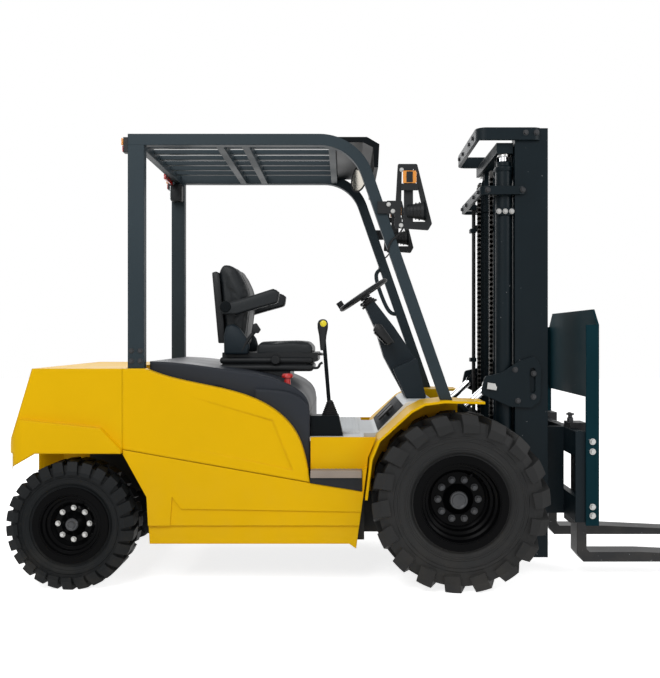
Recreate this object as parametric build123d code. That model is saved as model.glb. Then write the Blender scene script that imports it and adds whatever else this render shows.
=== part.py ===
from build123d import *
import math
import os

# Counterbalanced rough-terrain lift truck, millimetres, +X forward, +Z up.
# The origin lies on the floor under the middle of the truck's length and width.

# Overall layout
wheelbase = 1900.0
rear_overhang = 314.0
load_distance = 685.0
fork_length = 1070.0
overall_width = 1360.0
overall_length = rear_overhang + wheelbase + load_distance + fork_length
rear_end_x = -overall_length / 2
rear_axle_x = rear_end_x + rear_overhang
front_axle_x = rear_axle_x + wheelbase
fork_face_x = front_axle_x + load_distance

# Clearances
seat_gap = 0.3
shaft_gap = 0.08
run_gap = 6.0
eye_gap = 5.0

# Front drive wheels
front_tyre_od = 860.0
front_tyre_width = 310.0
front_rim_od = 462.0
front_rim_width = 262.0
front_bead_r = 209.0
front_lug_height = 30.0
front_lug_count = 18
front_lug_width = 78.0
front_lug_sweep = 46.0
front_stub_r = 46.0

# Rear steer wheels
rear_tyre_od = 625.0
rear_tyre_width = 220.0
rear_rim_od = 372.0
rear_rim_width = 180.0
rear_bead_r = 167.0
rear_lug_height = 18.0
rear_lug_count = 26
rear_lug_width = 50.0
rear_lug_sweep = 14.0
rear_stub_r = 32.0
rear_track_out = 622.0

# Wheel section shared by both sizes
rim_flange = 12.0
rim_wall = 14.0
disc_thickness = 16.0
tyre_shoulder = 22.0
lug_drop = 88.0
lug_sink = 14.0

# Axles and steering
axle_tube_r = 78.0
axle_pot_r = 150.0
axle_pot_half = 110.0
hub_flange_r = 120.0
kingpin_setback = 165.0
kingpin_r = 24.0
knuckle_r = 46.0
knuckle_half_height = 62.0
steer_beam_half = 58.0
steer_beam_height = 96.0
steer_jaw = 30.0

# Frame
frame_bottom_z = 225.0
frame_plate = 30.0
frame_wall = 28.0
floor_z = 736.0
floor_plate = 20.0
battery_top_z = 880.0
battery_gap = 46.7
keel_half_width = 84.0
keel_rear_half = 155.0

# Painted body
body_half_width = 575.0
fender_half_width = 606.0
panel_thickness = 60.0
counterweight_top_z = 1078.0
arch_top_z = 664.0
arch_lip_z = 500.0
counterweight_seam = 247.0
skirt_bottom_z = 215.0
well_clearance = 8.0
tow_pin_r = 16.0
tow_slot_height = 70.0
tow_z = 590.0

# Overhead guard
guard_inset = 20.0
guard_top_z = 2235.0
guard_rail_height = 55.0
guard_tube = 52.0
pillar_rake = 19.3
pillar_foot_x = -60.0
post_depth = 80.0
post_x = 309.0
guard_bend_r = 250.0
roof_bar = 36.0
roof_bar_height = 22.0
roof_bar_count = 6
lamp_drop = 383.0

# Mast
mast_tyre_gap = 15.0
mast_back = 318.0
mast_depth = 170.0
mast_bottom_z = 95.0
mast_top_z = 2312.0
outer_web = 20.0
outer_flange = 26.0
outer_channel_width = 82.0
inner_web = 18.0
inner_flange = 18.0
inner_channel_width = 66.0
tilt_pivot_dx = 186.0
tilt_pivot_z = 360.0
tilt_pivot_r = 26.0
lift_travel = 1500.0
lift_barrel_r = 44.0
lift_rod_r = 22.0
cylinder_inset = 55.0
head_band = 18.0
head_band_height = 64.0

# Tilt cylinders
tilt_pin_dx = 190.0
tilt_pin_z = 980.0
tilt_foot_dx = -190.0
tilt_foot_z = 640.0
tilt_barrel_r = 36.0
tilt_barrel_length = 340.0
tilt_rod_r = 20.0
tilt_rod_length = 260.0
tilt_pin_r = 15.0
tilt_eye_r = 31.0
tilt_eye_width = 34.0

# Carriage and forks
carriage_half_width = 470.0
carriage_bar = 40.0
upper_bar_z = 634.0
lower_bar_z = 304.0
bar_height = 127.0
fork_thickness = 50.0
fork_width = 120.0
fork_gap_half = 245.0
fork_bottom_z = 75.0
backrest_top_z = 1374.0
backrest_half_width = 498.0
backrest_flange = 65.0
backrest_plate = 10.0

# Chains
chain_inset = 155.0
sheave_r = 56.0
sheave_dx = 276.0
chain_width = 26.0
chain_depth = 22.0

# Derived values used by several pieces
front_wheel_z = front_tyre_od / 2
rear_wheel_z = rear_tyre_od / 2
front_wheel_y = (overall_width - front_tyre_width) / 2
rear_wheel_y = rear_track_out - rear_tyre_width / 2
kingpin_y = rear_wheel_y - kingpin_setback
guard_half_width = body_half_width - guard_inset
mast_half_width = front_wheel_y - front_tyre_width / 2 - mast_tyre_gap
lift_cylinder_y = mast_half_width - cylinder_inset
tilt_cylinder_y = mast_half_width - cylinder_inset
chain_y = mast_half_width - chain_inset


# Shared shape helpers


def block(x0, x1, y0, y1, z0, z1):
    """Box between two corners."""
    return Pos((x0 + x1) / 2, (y0 + y1) / 2, (z0 + z1) / 2) * Box(x1 - x0, y1 - y0, z1 - z0)


def outline_face(points, round_r):
    """Closed flat face through the points, with every corner rounded when round_r is given."""
    if round_r:
        return make_face(FilletPolyline(*points, radius=round_r, close=True))
    return make_face(Polyline(*points, close=True))


def side_plate(points, y0, y1, round_r=0):
    """Plate with its (x, z) outline seen from the side, standing between y0 and y1."""
    return extrude(Plane.XZ.offset(-y1) * outline_face(points, round_r), y1 - y0)


def plan_plate(points, z0, z1, round_r=0):
    """Plate with its (x, y) outline seen from above, lying between z0 and z1."""
    return extrude(Plane.XY.offset(z0) * outline_face(points, round_r), z1 - z0)


def swept_plate(curve, corners, y0, y1):
    """Plate bounded by a smooth (x, z) curve and straight runs through the corners back to its start."""
    back = Polyline(curve[-1], *corners, curve[0])
    face = make_face([Spline(*curve), *back.edges()])
    return extrude(Plane.XZ.offset(-y1) * face, y1 - y0)


def cross_plate(points, x0, x1, round_r=0):
    """Plate with its (y, z) outline seen from the front, standing between x0 and x1."""
    return extrude(Plane.YZ.offset(x0) * outline_face(points, round_r), x1 - x0)


def bent_plate(points, width, y0, y1, round_r):
    """Plate bent along an (x, z) line, as thick as width, standing between y0 and y1."""
    line = FilletPolyline(*points, radius=round_r)
    return extrude(Plane.XZ.offset(-y1) * trace(line, line_width=width), y1 - y0)


def rod_y(x, z, r, y0, y1):
    """Round bar along Y."""
    return Pos(x, (y0 + y1) / 2, z) * Rot(90, 0, 0) * Cylinder(r, y1 - y0)


def rod_z(x, y, r, z0, z1):
    """Round bar along Z."""
    return Pos(x, y, (z0 + z1) / 2) * Cylinder(r, z1 - z0)


def rod_between(start, end, r):
    """Round bar from one point to another."""
    line = Vector(*end) - Vector(*start)
    place = Plane(origin=start, z_dir=line)
    return place * Cylinder(r, line.length, align=(Align.CENTER, Align.CENTER, Align.MIN))


def spun(profile):
    """Solid of revolution about the Y axis from (y, radius) points."""
    return revolve(Plane.YZ * make_face(Polyline(*profile, close=True)), Axis.Y)


def flipped(shape):
    """The same piece on the other side of the truck."""
    return mirror(shape, about=Plane.XZ)


def both_sides(shape):
    """A right and a left copy that share one node."""
    return shape + flipped(shape)


# Wheels, modelled about the Y axis with the outer face towards -Y


def lug(od, width, drop, lug_width, sweep):
    """One slanted tread bar on the -Y half, from the centre line round the shoulder."""
    r = od / 2
    half = width / 2
    bar = [(-lug_width / 2, -lug_sink / 2), (lug_width / 2, -lug_sink / 2),
           (lug_width / 2 + sweep, -half), (-lug_width / 2 + sweep, -half)]
    prism = plan_plate(bar, r - drop, r + lug_sink)
    inner_r = r - drop - lug_sink
    envelope = spun([(-half, inner_r), (-half, r - 2 * tyre_shoulder), (-half + tyre_shoulder, r),
                     (half - tyre_shoulder, r), (half, r - 2 * tyre_shoulder), (half, inner_r)])
    return prism & envelope


def tyre(od, width, rim_od, rim_width, bead_r, lug_height, lug_count, lug_width, lug_sweep):
    """Tyre ring with two staggered rows of tread bars."""
    r = od / 2
    crown = r - lug_height
    wall = width / 2 - lug_sink
    bead = rim_width / 2 - rim_flange - seat_gap
    drop = min(lug_drop, (r - rim_od / 2) / 2)
    half_profile = [(bead, bead_r + seat_gap), (bead, rim_od / 2 + lug_sink / 2),
                    (wall - tyre_shoulder / 2, rim_od / 2 + tyre_shoulder),
                    (wall, (crown + rim_od / 2) / 2 - lug_sink), (wall, r - drop + lug_sink),
                    (wall - tyre_shoulder, crown)]
    profile = half_profile + [(-y, radius) for y, radius in reversed(half_profile)]
    bar = lug(od, width, drop, lug_width, lug_sweep)
    other = Rot(0, 180 / lug_count, 0) * flipped(bar)
    pitch = 360 / lug_count
    bars = [Rot(0, 180 + pitch * k, 0) * half for k in range(lug_count) for half in (bar, other)]
    return spun(profile) + bars


def rim(rim_od, rim_width, bead_r, disc_y, stub_r):
    """Dished disc wheel with bead seats, a hub boss and a closed hub cap."""
    edge = rim_width / 2
    seat = edge - rim_flange
    inner_r = bead_r - rim_wall
    bore = stub_r + shaft_gap
    boss_r = bore + rim_wall + disc_thickness
    boss_in = disc_y + disc_thickness + 3 * rim_wall
    cap_out = disc_y - 2 * disc_thickness
    profile = [(-edge, rim_od / 2), (-seat, rim_od / 2), (-seat, bead_r), (seat, bead_r),
               (seat, rim_od / 2), (edge, rim_od / 2), (edge, inner_r),
               (disc_y + disc_thickness, inner_r), (disc_y + disc_thickness, boss_r),
               (boss_in, boss_r), (boss_in, bore), (disc_y, bore), (disc_y, 0),
               (cap_out, 0), (cap_out, stub_r), (disc_y, boss_r), (disc_y, inner_r - rim_wall),
               (disc_y - disc_thickness, inner_r), (-edge, inner_r)]
    return spun(profile)


front_disc_y = -5.0
rear_disc_y = -30.0


def front_tyre():
    return tyre(front_tyre_od, front_tyre_width, front_rim_od, front_rim_width, front_bead_r,
                front_lug_height, front_lug_count, front_lug_width, front_lug_sweep)


def rear_tyre():
    return tyre(rear_tyre_od, rear_tyre_width, rear_rim_od, rear_rim_width, rear_bead_r,
                rear_lug_height, rear_lug_count, rear_lug_width, rear_lug_sweep)


def front_rim():
    return rim(front_rim_od, front_rim_width, front_bead_r, front_disc_y, front_stub_r)


def rear_rim():
    return rim(rear_rim_od, rear_rim_width, rear_bead_r, rear_disc_y, rear_stub_r)


# Axles


def drive_axle():
    """Front axle housing with its gear pot, brake flanges and wheel stubs."""
    boss_in = front_disc_y + disc_thickness + 3 * rim_wall
    stub_end = front_wheel_y - front_disc_y - shaft_gap
    flange_out = front_wheel_y - boss_in - run_gap
    half = [(0, axle_pot_r), (axle_pot_half, axle_pot_r), (axle_pot_half + rim_wall, axle_tube_r),
            (flange_out - frame_wall, axle_tube_r), (flange_out - frame_wall, hub_flange_r),
            (flange_out, hub_flange_r), (flange_out, front_stub_r), (stub_end, front_stub_r)]
    profile = [(-stub_end, 0)] + [(-y, radius) for y, radius in reversed(half)] + half[1:] + [(stub_end, 0)]
    return Pos(front_axle_x, 0, front_wheel_z) * spun(profile)


def steer_axle():
    """Rear cross beam with a trunnion on top and a pair of jaws for each kingpin."""
    z = rear_wheel_z
    end_y = kingpin_y - knuckle_r - run_gap
    jaw_low = knuckle_half_height + shaft_gap
    jaw_high = jaw_low + steer_jaw
    beam = block(-steer_beam_half, steer_beam_half, -end_y, end_y, -steer_beam_height / 2,
                 steer_beam_height / 2)
    head = block(-steer_beam_half, steer_beam_half, end_y - steer_beam_half, end_y, -jaw_high, jaw_high)
    jaws = Part()
    for low, high in ((jaw_low, jaw_high), (-jaw_high, -jaw_low)):
        jaws += block(-knuckle_r, knuckle_r, end_y, kingpin_y, low, high)
        jaws += rod_z(0, kingpin_y, knuckle_r, low, high)
    end = head + jaws - rod_z(0, kingpin_y, kingpin_r + shaft_gap, -jaw_high - 1, jaw_high + 1)
    trunnion = block(-steer_beam_half, steer_beam_half, -keel_half_width, keel_half_width,
                     steer_beam_height / 2, frame_neck_z - z)
    return Pos(rear_axle_x, 0, z) * (beam + end + flipped(end) + trunnion)


def knuckle():
    """Right steering knuckle: kingpin barrel with the wheel's stub on it."""
    z = rear_wheel_z
    jaw_high = knuckle_half_height + shaft_gap + steer_jaw
    stub_end = rear_wheel_y - rear_disc_y - shaft_gap
    boss_in = rear_disc_y + disc_thickness + 3 * rim_wall
    barrel = rod_z(rear_axle_x, -kingpin_y, knuckle_r, z - knuckle_half_height, z + knuckle_half_height)
    pin = rod_z(rear_axle_x, -kingpin_y, kingpin_r, z - jaw_high, z + jaw_high)
    shoulder = rod_y(rear_axle_x, z, knuckle_r, -(rear_wheel_y - boss_in - run_gap), -kingpin_y)
    return barrel + pin + shoulder + rod_y(rear_axle_x, z, rear_stub_r, -stub_end, -kingpin_y)


# Frame and painted body


frame_neck_z = rear_wheel_z + steer_beam_height / 2 + steer_jaw
panel_in_y = body_half_width - panel_thickness
frame_half = panel_in_y - seat_gap
battery_half_width = frame_half - frame_wall - battery_gap
well_r = math.hypot(kingpin_setback + (rear_tyre_width - tyre_shoulder) / 2, rear_wheel_z) + well_clearance
frame_rear_x = rear_axle_x + well_r
frame_front_x = front_axle_x - front_wheel_z - frame_wall - run_gap - seat_gap
front_box_half = front_wheel_y - front_tyre_width / 2 - frame_wall
bulkhead_x = front_axle_x + tilt_foot_dx - 2 * tilt_eye_r + run_gap
leg_x = front_axle_x - 735.0
seam_x = rear_axle_x + counterweight_seam
seam_drop_z = 520.0
seam_high_z = 682.0
press_angle = 0.55
sill_plate = 12.0
sill_step = 6.0
step_top_z = 575.0
clevis_plate = 20.0
clevis_y = 125.0
lug_plate = 40.0
clevis_gap = 5.0
leg_panel_top_z = 862.0
hood_half = guard_half_width - guard_tube - run_gap


def clevis_arm(y0, y1):
    """One frame plate that carries the axle tube and the mast's pivot pin."""
    x = front_axle_x
    pivot = x + tilt_pivot_dx
    nose = 2 * tilt_pivot_r
    outline = [(bulkhead_x, frame_bottom_z + frame_plate), (x + axle_tube_r, frame_bottom_z + frame_plate),
               (pivot + nose, tilt_pivot_z - nose / 2), (pivot + nose, tilt_pivot_z + nose / 2),
               (x + axle_tube_r, front_wheel_z + 1.6 * axle_tube_r), (bulkhead_x, front_wheel_z + 2 * axle_tube_r)]
    plate = side_plate(outline, y0, y1)
    return plate - rod_y(x, front_wheel_z, axle_tube_r + seat_gap, y0 - 1, y1 + 1)


def tilt_foot():
    """Pair of ears and a pin for one tilt cylinder's foot, on the bulkhead."""
    x = front_axle_x + tilt_foot_dx
    inner = tilt_eye_width / 2 + clevis_gap
    ears = Part()
    for y0 in (tilt_cylinder_y - inner - rim_wall, tilt_cylinder_y + inner):
        ears += block(bulkhead_x, x, y0, y0 + rim_wall, tilt_foot_z - tilt_eye_r, tilt_foot_z + tilt_eye_r)
        ears += rod_y(x, tilt_foot_z, tilt_eye_r, y0, y0 + rim_wall)
    return ears + rod_y(x, tilt_foot_z, tilt_pin_r, tilt_cylinder_y - inner, tilt_cylinder_y + inner)


def frame():
    """Welded tub with side walls, a front box, mast clevises and the rear neck."""
    top = floor_z - floor_plate
    low = frame_bottom_z
    tub = block(frame_rear_x, frame_front_x, -frame_half, frame_half, low, low + frame_plate)
    tub += block(frame_rear_x, frame_rear_x + frame_wall, -frame_half, frame_half, low, arch_top_z)
    tub += block(frame_front_x - frame_wall, frame_front_x, -frame_half, frame_half, low, top)
    tub += block(frame_front_x - frame_wall, bulkhead_x, -front_box_half, front_box_half, low, low + frame_plate)
    tub += block(bulkhead_x - frame_wall, bulkhead_x, -front_box_half, front_box_half, low, top)
    side = block(leg_x, frame_front_x, -frame_half, -frame_half + frame_wall, low, top)
    side += block(frame_rear_x, leg_x, -frame_half, -frame_half + frame_wall, low, seam_drop_z)
    side += block(frame_front_x, bulkhead_x, -front_box_half, -front_box_half + frame_wall, low, top)
    inner = clevis_y + clevis_plate + lug_plate + 2 * clevis_gap
    side += clevis_arm(-clevis_y - clevis_plate, -clevis_y) + clevis_arm(-inner - clevis_plate, -inner)
    side += rod_y(front_axle_x + tilt_pivot_dx, tilt_pivot_z, tilt_pivot_r, -inner, -clevis_y - clevis_plate)
    side += flipped(tilt_foot())
    neck = block(rear_axle_x - steer_beam_half, frame_rear_x + frame_wall, -keel_half_width, keel_half_width,
                 frame_neck_z, arch_top_z)
    return tub + side + flipped(side) + neck


def battery():
    """Traction battery block in the tub."""
    return block(frame_rear_x + 2 * frame_wall, leg_x - 2 * frame_wall, -battery_half_width, battery_half_width,
                 frame_bottom_z + frame_plate, battery_top_z)


def counterweight():
    """Cast rear mass with a raked back, flared arches, a keel and a towing slot."""
    x = rear_axle_x
    rake_top = 118.0
    flare_top = 830.0
    flare_front = 788.0
    corner_r = 80.0
    lip = 20.0
    profile = [(seam_x, arch_top_z), (seam_x, counterweight_top_z),
               (rear_end_x + rake_top, counterweight_top_z), (rear_end_x, arch_top_z + lip),
               (rear_end_x, arch_top_z)]
    body = side_plate(profile, -body_half_width, body_half_width)
    flare = [(rear_end_x, arch_top_z), (rear_end_x, arch_top_z + lip), (rear_end_x + 3 * lip, flare_top),
             (seam_x - 5 * lip, flare_front), (seam_x, seam_high_z), (seam_x, arch_top_z)]
    arch = [(rear_end_x, arch_lip_z), (rear_end_x, arch_top_z), (x - 0.55 * rear_wheel_z, arch_top_z),
            (rear_end_x + 1.6 * lip, arch_lip_z + 5 * lip), (rear_end_x + lip / 2, arch_lip_z)]
    flares = side_plate(flare, -fender_half_width, -body_half_width + lip)
    flares += side_plate(arch, -fender_half_width, -fender_half_width + lip)
    keel = [(x - steer_beam_half - seat_gap, -keel_half_width), (x - 200, -keel_half_width),
            (rear_end_x, -keel_rear_half), (rear_end_x, keel_rear_half), (x - 200, keel_half_width),
            (x - steer_beam_half - seat_gap, keel_half_width)]
    whole = body + flares + flipped(flares) + plan_plate(keel, frame_neck_z, arch_top_z)
    plan = [(rear_end_x, -fender_half_width), (seam_x + corner_r, -fender_half_width),
            (seam_x + corner_r, fender_half_width), (rear_end_x, fender_half_width)]
    whole = whole & plan_plate(plan, 0, counterweight_top_z, corner_r)
    slot = block(rear_end_x - 1, rear_end_x + 70, -60, 60, tow_z - tow_slot_height / 2, tow_z + tow_slot_height / 2)
    pin = rod_z(rear_end_x + 38, 0, tow_pin_r, frame_neck_z - 1, tow_z)
    return whole - slot - pin


def pressed_field():
    """Field pressed into the right side panel, deeper towards the front."""
    x = front_axle_x
    rear_x = x - 1362
    field = side_plate([(rear_x, 954), (x - 915, 824), (x - 818, 580), (x - 1314, 686)], -panel_thickness, 0)
    return Pos(rear_x, -body_half_width, 0) * Rot(0, 0, press_angle) * Pos(-rear_x, 0, 0) * field


def side_panels():
    """Upper painted side panels with the swept front edge and a pressed field."""
    x = front_axle_x
    sweep = [(x - 1542, counterweight_top_z), (x - 1223, 992), (x - 963, 909), (x - 860, 836), (x - 806, 771),
             (x - 757, 649), (leg_x + 3, seam_drop_z + seat_gap)]
    corners = [(seam_x + seat_gap, seam_high_z + seat_gap), (seam_x + seat_gap, counterweight_top_z)]
    panel = swept_plate(sweep, corners, -body_half_width, -panel_in_y)
    return both_sides(panel - pressed_field())


def side_skirts():
    """Lower painted skirts with a stepped foot, and the sill between the step and the floor."""
    x = front_axle_x
    low = skirt_bottom_z
    edge = [(rear_axle_x + 378, low), (rear_axle_x + 366, 447), (seam_x + 3, arch_top_z - 8),
            (seam_x + 3, seam_high_z - 3), (leg_x, seam_drop_z - 3), (x - 476, 476), (x - 476, step_top_z - 1),
            (x - 450, step_top_z + 25), (x - 505, low - 24), (x - 540, low)]
    skirt = side_plate(edge, -body_half_width, -panel_in_y)
    foot = [(x - 1409, 448), (x - 1365, 389), (x - 440, 374), (x - 440, 0), (x - 1440, 0)]
    skirt -= side_plate(foot, -body_half_width - 1, -body_half_width + sill_step)
    rocker = block(x - 1600, x, -body_half_width - 1, -body_half_width + 2.5 * sill_step, 0, low + 91)
    sill = [(leg_x + 4, step_top_z + seat_gap), (x - 452, step_top_z + seat_gap), (x - 445, 635),
            (x - 407, floor_z - 9), (x - 404, floor_z), (leg_x + 4, floor_z)]
    return both_sides(skirt - rocker + side_plate(sill, -panel_in_y - sill_plate, -panel_in_y))


def steps():
    """Boarding step on each side, seated on the skirt."""
    x = front_axle_x
    front_x = x - 476 - seat_gap
    edge = [(leg_x + 4, seam_drop_z - 2), (front_x, 477), (front_x, step_top_z), (leg_x + 4, step_top_z)]
    return both_sides(side_plate(edge, -body_half_width - sill_step, -panel_in_y))


def floor_board():
    """Flat operator floor over the frame walls."""
    return block(leg_x + seat_gap, frame_front_x, -frame_half, frame_half, floor_z - floor_plate, floor_z)


def leg_panel():
    """Fixed panel behind the operator's legs, with a wing on each side behind the swept panel edge."""
    x = front_axle_x
    front = leg_x - seat_gap
    panel = block(front - floor_plate, front, -panel_in_y + run_gap, panel_in_y - run_gap,
                  floor_z - floor_plate, leg_panel_top_z)
    wing_line = [(front, leg_panel_top_z), (x - 772, 925), (x - 860, 962), (x - 1010, 975)]
    corners = [(x - 1010, 720), (x - 900, seam_drop_z + seat_gap), (front, seam_drop_z + seat_gap)]
    wing = swept_plate(wing_line, corners, -panel_in_y + seat_gap, -hood_half - run_gap)
    return panel + wing + flipped(wing)


def toe_board():
    """Raked toe board and the deck over the drive axle."""
    x = front_axle_x
    line = [(frame_front_x + seat_gap, floor_z - floor_plate / 2), (x - 395, floor_z - floor_plate / 2),
            (x - 232, 890), (x - 95, 890)]
    return bent_plate(line, floor_plate, -front_box_half, front_box_half, 40)


def front_fenders():
    """Arched front fenders with a deep outer lip and an inner wall."""
    x = front_axle_x
    line = [(x - 456, 440), (x - 432, 635), (x - 394, 727), (x - 236, 870), (x - 172, 904), (x - 74, 917),
            (x + 121, 912)]
    inner = front_box_half + seat_gap
    skin = bent_plate(line, 12, -fender_half_width - 14, -inner, 24)
    wall = line + [(x + 80, 780), (x - 100, 740), (x - 300, 600), (x - 400, 440)]
    fender = skin + side_plate(wall, -inner - 12, -inner)
    notch = block(x + 20, x + 140, -mast_half_width - 32, -inner + 1, 700, 960)
    return both_sides(fender - notch)


# Hood with the seat


hood_rear_x = front_axle_x - 1535.0
hood_skin = 20.0
hinge_x = hood_rear_x - 22.0
hinge_z = 1040.0
hinge_r = 16.0
hinge_pin_r = 8.0
hinge_y = 300.0
hinge_width = 40.0
rear_beam_top_z = 1056.0
seat_half = 225.0
seat_deck_z = 1150.0


def hood_line():
    """Top line of the hood from its rear edge to the front of the seat deck."""
    x = front_axle_x
    return [(hood_rear_x, 1112), (x - 1389, 1103), (x - 1169, 1073), (x - 835, 993), (x - 765, 945),
            (x - 737, leg_panel_top_z + seat_gap)]


def hood_form():
    """Outside of the hood as a solid."""
    line = hood_line()
    front_x, front_z = line[-1]
    low = hinge_z - 55
    corners = [(front_x - 120, front_z), (hood_rear_x + 340, low), (hood_rear_x, low)]
    return swept_plate(line, corners, -hood_half, hood_half)


def hood():
    """Seat deck lid: a crowned shell open below, with two hinge eyes at the rear."""
    line = hood_line()
    front_x, front_z = line[-1]
    low = hinge_z - 200
    inner = [(hood_rear_x + hood_skin, low), (hood_rear_x + hood_skin, line[0][1] - hood_skin)]
    inner += [(px, pz - hood_skin) for px, pz in line[1:3]]
    inner += [(px - hood_skin / 2, pz - hood_skin) for px, pz in line[3:5]]
    inner += [(front_x - hood_skin, front_z - 1), (front_x - hood_skin, low)]
    shell = hood_form() - side_plate(inner, -hood_half + hood_skin, hood_half - hood_skin)
    half = hinge_width / 2
    eye = rod_y(hinge_x, hinge_z, hinge_r, -hinge_y - half, -hinge_y + half)
    eye += block(hinge_x, hood_rear_x + 1, -hinge_y - half, -hinge_y + half, hinge_z - hinge_r / 2, hinge_z + hinge_r / 2)
    eye -= rod_y(hinge_x, hinge_z, hinge_pin_r + shaft_gap, -hinge_y - hinge_width, -hinge_y + hinge_width)
    return shell + eye + flipped(eye)


def rear_beam():
    """Cross beam behind the hood with the hinge ears and pins."""
    face_x = hinge_x - hinge_r - run_gap
    beam = block(seam_x + seat_gap, face_x, -panel_in_y + seat_gap, panel_in_y - seat_gap,
                 rear_beam_top_z - 90, rear_beam_top_z)
    reach = hinge_width / 2 + clevis_gap
    ears = rod_y(hinge_x, hinge_z, hinge_pin_r, -hinge_y - reach, -hinge_y + reach)
    for y0 in (-hinge_y - reach - rim_wall, -hinge_y + reach):
        ears += block(face_x, hinge_x, y0, y0 + rim_wall, hinge_z - hinge_r, rear_beam_top_z)
        ears += rod_y(hinge_x, hinge_z, hinge_r, y0, y0 + rim_wall)
    return beam + ears + flipped(ears)


def seat_base():
    """Seat suspension, cut to the crown of the hood."""
    x = front_axle_x
    edge = [(x - 1215, 1000), (x - 870, 950), (x - 850, 1060), (x - 705, 1105), (x - 705, seat_deck_z),
            (x - 1215, seat_deck_z)]
    base = side_plate(edge, -seat_half + 15, seat_half - 15)
    return base - Pos(0, 0, seat_gap) * hood_form()


def seat_cushion():
    """Seat cushion, plain closed form."""
    x = front_axle_x
    z = seat_deck_z + seat_gap
    edge = [(x - 1070, z), (x - 712, z), (x - 706, z + 48), (x - 735, z + 70), (x - 1055, z + 55)]
    return side_plate(edge, -seat_half - 10, seat_half + 10, 14)


def seat_back():
    """Raked backrest cushion, plain closed form."""
    x = front_axle_x
    z = seat_deck_z + seat_gap
    edge = [(x - 1175, z), (x - 1088, z), (x - 1182, z + 490), (x - 1262, z + 490)]
    return side_plate(edge, -seat_half, seat_half, 22)


def armrests():
    """Folding armrests on the sides of the backrest."""
    x = front_axle_x
    edge = [(x - 1222, 1355), (x - 1140, 1352), (x - 1020, 1394), (x - 912, 1424), (x - 906, 1470), (x - 936, 1487),
            (x - 1090, 1438), (x - 1222, 1402)]
    return both_sides(side_plate(edge, -seat_half - seat_gap - 58, -seat_half - seat_gap, 10))


# Controls


wheel_axis = (-0.559, 0.0, 0.829)
console_inset = 90.0
steer_wheel_r = 145.0
steer_grip_r = 13.0
steer_hub_r = 30.0
steer_shaft_r = 10.0
steer_wheel_x = front_axle_x - 457.0
steer_wheel_z = 1468.0


def wheel_plane(lift=0.0):
    """Plane of the steering wheel, raised along the column by lift."""
    ax, ay, az = wheel_axis
    return Plane(origin=(steer_wheel_x + ax * lift, 0, steer_wheel_z + az * lift), z_dir=wheel_axis)


def steering_wheel():
    """Steering wheel with three spokes, a hub and a spinner knob."""
    depth = 26.0
    wheel = revolve(Plane.XZ * Pos(steer_wheel_r, 0) * RegularPolygon(steer_grip_r, 8), Axis.Z)
    hub = Pos(0, 0, -depth / 2) * Cylinder(steer_hub_r, depth)
    hub -= Pos(0, 0, -depth) * Cylinder(steer_shaft_r + shaft_gap, depth)
    for angle in (90, 210, 330):
        hub += Rot(0, 0, angle) * Pos(steer_wheel_r / 2 + steer_hub_r / 3, 0, -steer_grip_r / 2) * Box(
            steer_wheel_r - steer_hub_r, steer_hub_r, steer_grip_r / 2)
    knob = Rot(0, 0, 160) * Pos(steer_wheel_r, 0, 2 * steer_grip_r) * Cylinder(18, 3 * steer_grip_r)
    return wheel_plane() * (wheel + hub + knob)


def steering_column():
    """Column shroud standing on the deck, with the steering shaft on top."""
    x = front_axle_x
    edge = [(x - 448, 1398), (x - 400, 1432), (x - 290, 1290), (x - 175, 1120), (x - 120, 900.3), (x - 228, 900.3),
            (x - 345, 1120), (x - 390, 1270)]
    shroud = side_plate(edge, -72, 72, 12)
    pod = [(x - 300, 1060), (x - 170, 1120), (x - 120, 900.3), (x - 228, 900.3)]
    shroud += side_plate(pod, -150, 150, 10)
    low = wheel_plane(-95).origin
    high = wheel_plane(-14).origin
    return shroud + rod_between(tuple(low), tuple(high), steer_shaft_r)


def lever_console():
    """Hydraulic lever box beside the seat, with the lever and its bellows."""
    x = front_axle_x
    y = -panel_in_y + console_inset
    top = 838.0
    box = [(x - 732, floor_z), (x - 570, floor_z), (x - 592, top), (x - 732, top)]
    console = side_plate(box, y - 55, y + 55)
    bellows = Pos(x - 636, y, top + 34) * Cone(36, 13, 68)
    lever = rod_between((x - 636, y, top), (x - 672, y, 1285), 10)
    return console + bellows + lever + Pos(x - 673, y, 1290) * Sphere(22)


# Overhead guard


rail_in_y = guard_half_width - guard_tube
fender_top_z = 923.3


def pillar_x(z):
    """Middle of the raked front pillar at one height."""
    return front_axle_x + pillar_foot_x - (z - fender_top_z) * math.tan(math.radians(pillar_rake))


def guard_sides():
    """Roof rails that bend down into the raked front pillars."""
    zc = guard_top_z - guard_rail_height / 2
    foot_x = pillar_x(fender_top_z)
    line = [(rear_axle_x + post_x - post_depth / 2, zc), (pillar_x(zc), zc),
            (pillar_x(fender_top_z - 60), fender_top_z - 60)]
    side = bent_plate(line, guard_rail_height, -guard_half_width, -rail_in_y, guard_bend_r)
    side -= block(foot_x - 200, foot_x + 200, -guard_half_width - 1, -rail_in_y + 1, 0, fender_top_z)
    return both_sides(side)


def guard_posts():
    """Upright rear posts on the side panels' flat tops."""
    x = rear_axle_x + post_x
    half = post_depth / 2
    post = block(x - half, x + half, -guard_half_width, -rail_in_y, counterweight_top_z,
                 guard_top_z - guard_rail_height)
    return both_sides(post)


def guard_roof():
    """Roof grid of cross bars and fore-and-aft bars between the rails."""
    top = guard_top_z - 8
    low = top - guard_rail_height + 8
    half = rail_in_y - seat_gap
    rear = rear_axle_x + post_x
    stations = [rear, front_axle_x - 1185, front_axle_x - 1056, front_axle_x - 625]
    grid = Part()
    for x in stations:
        grid += block(x - roof_bar / 2, x + roof_bar / 2, -half, half, low, top)
    spacing = 2 * half / (roof_bar_count + 1)
    for k in range(roof_bar_count):
        y = -half + spacing * (k + 1)
        grid += block(rear, stations[-1], y - roof_bar / 2, y + roof_bar / 2, top - roof_bar_height, top)
    return grid


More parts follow.
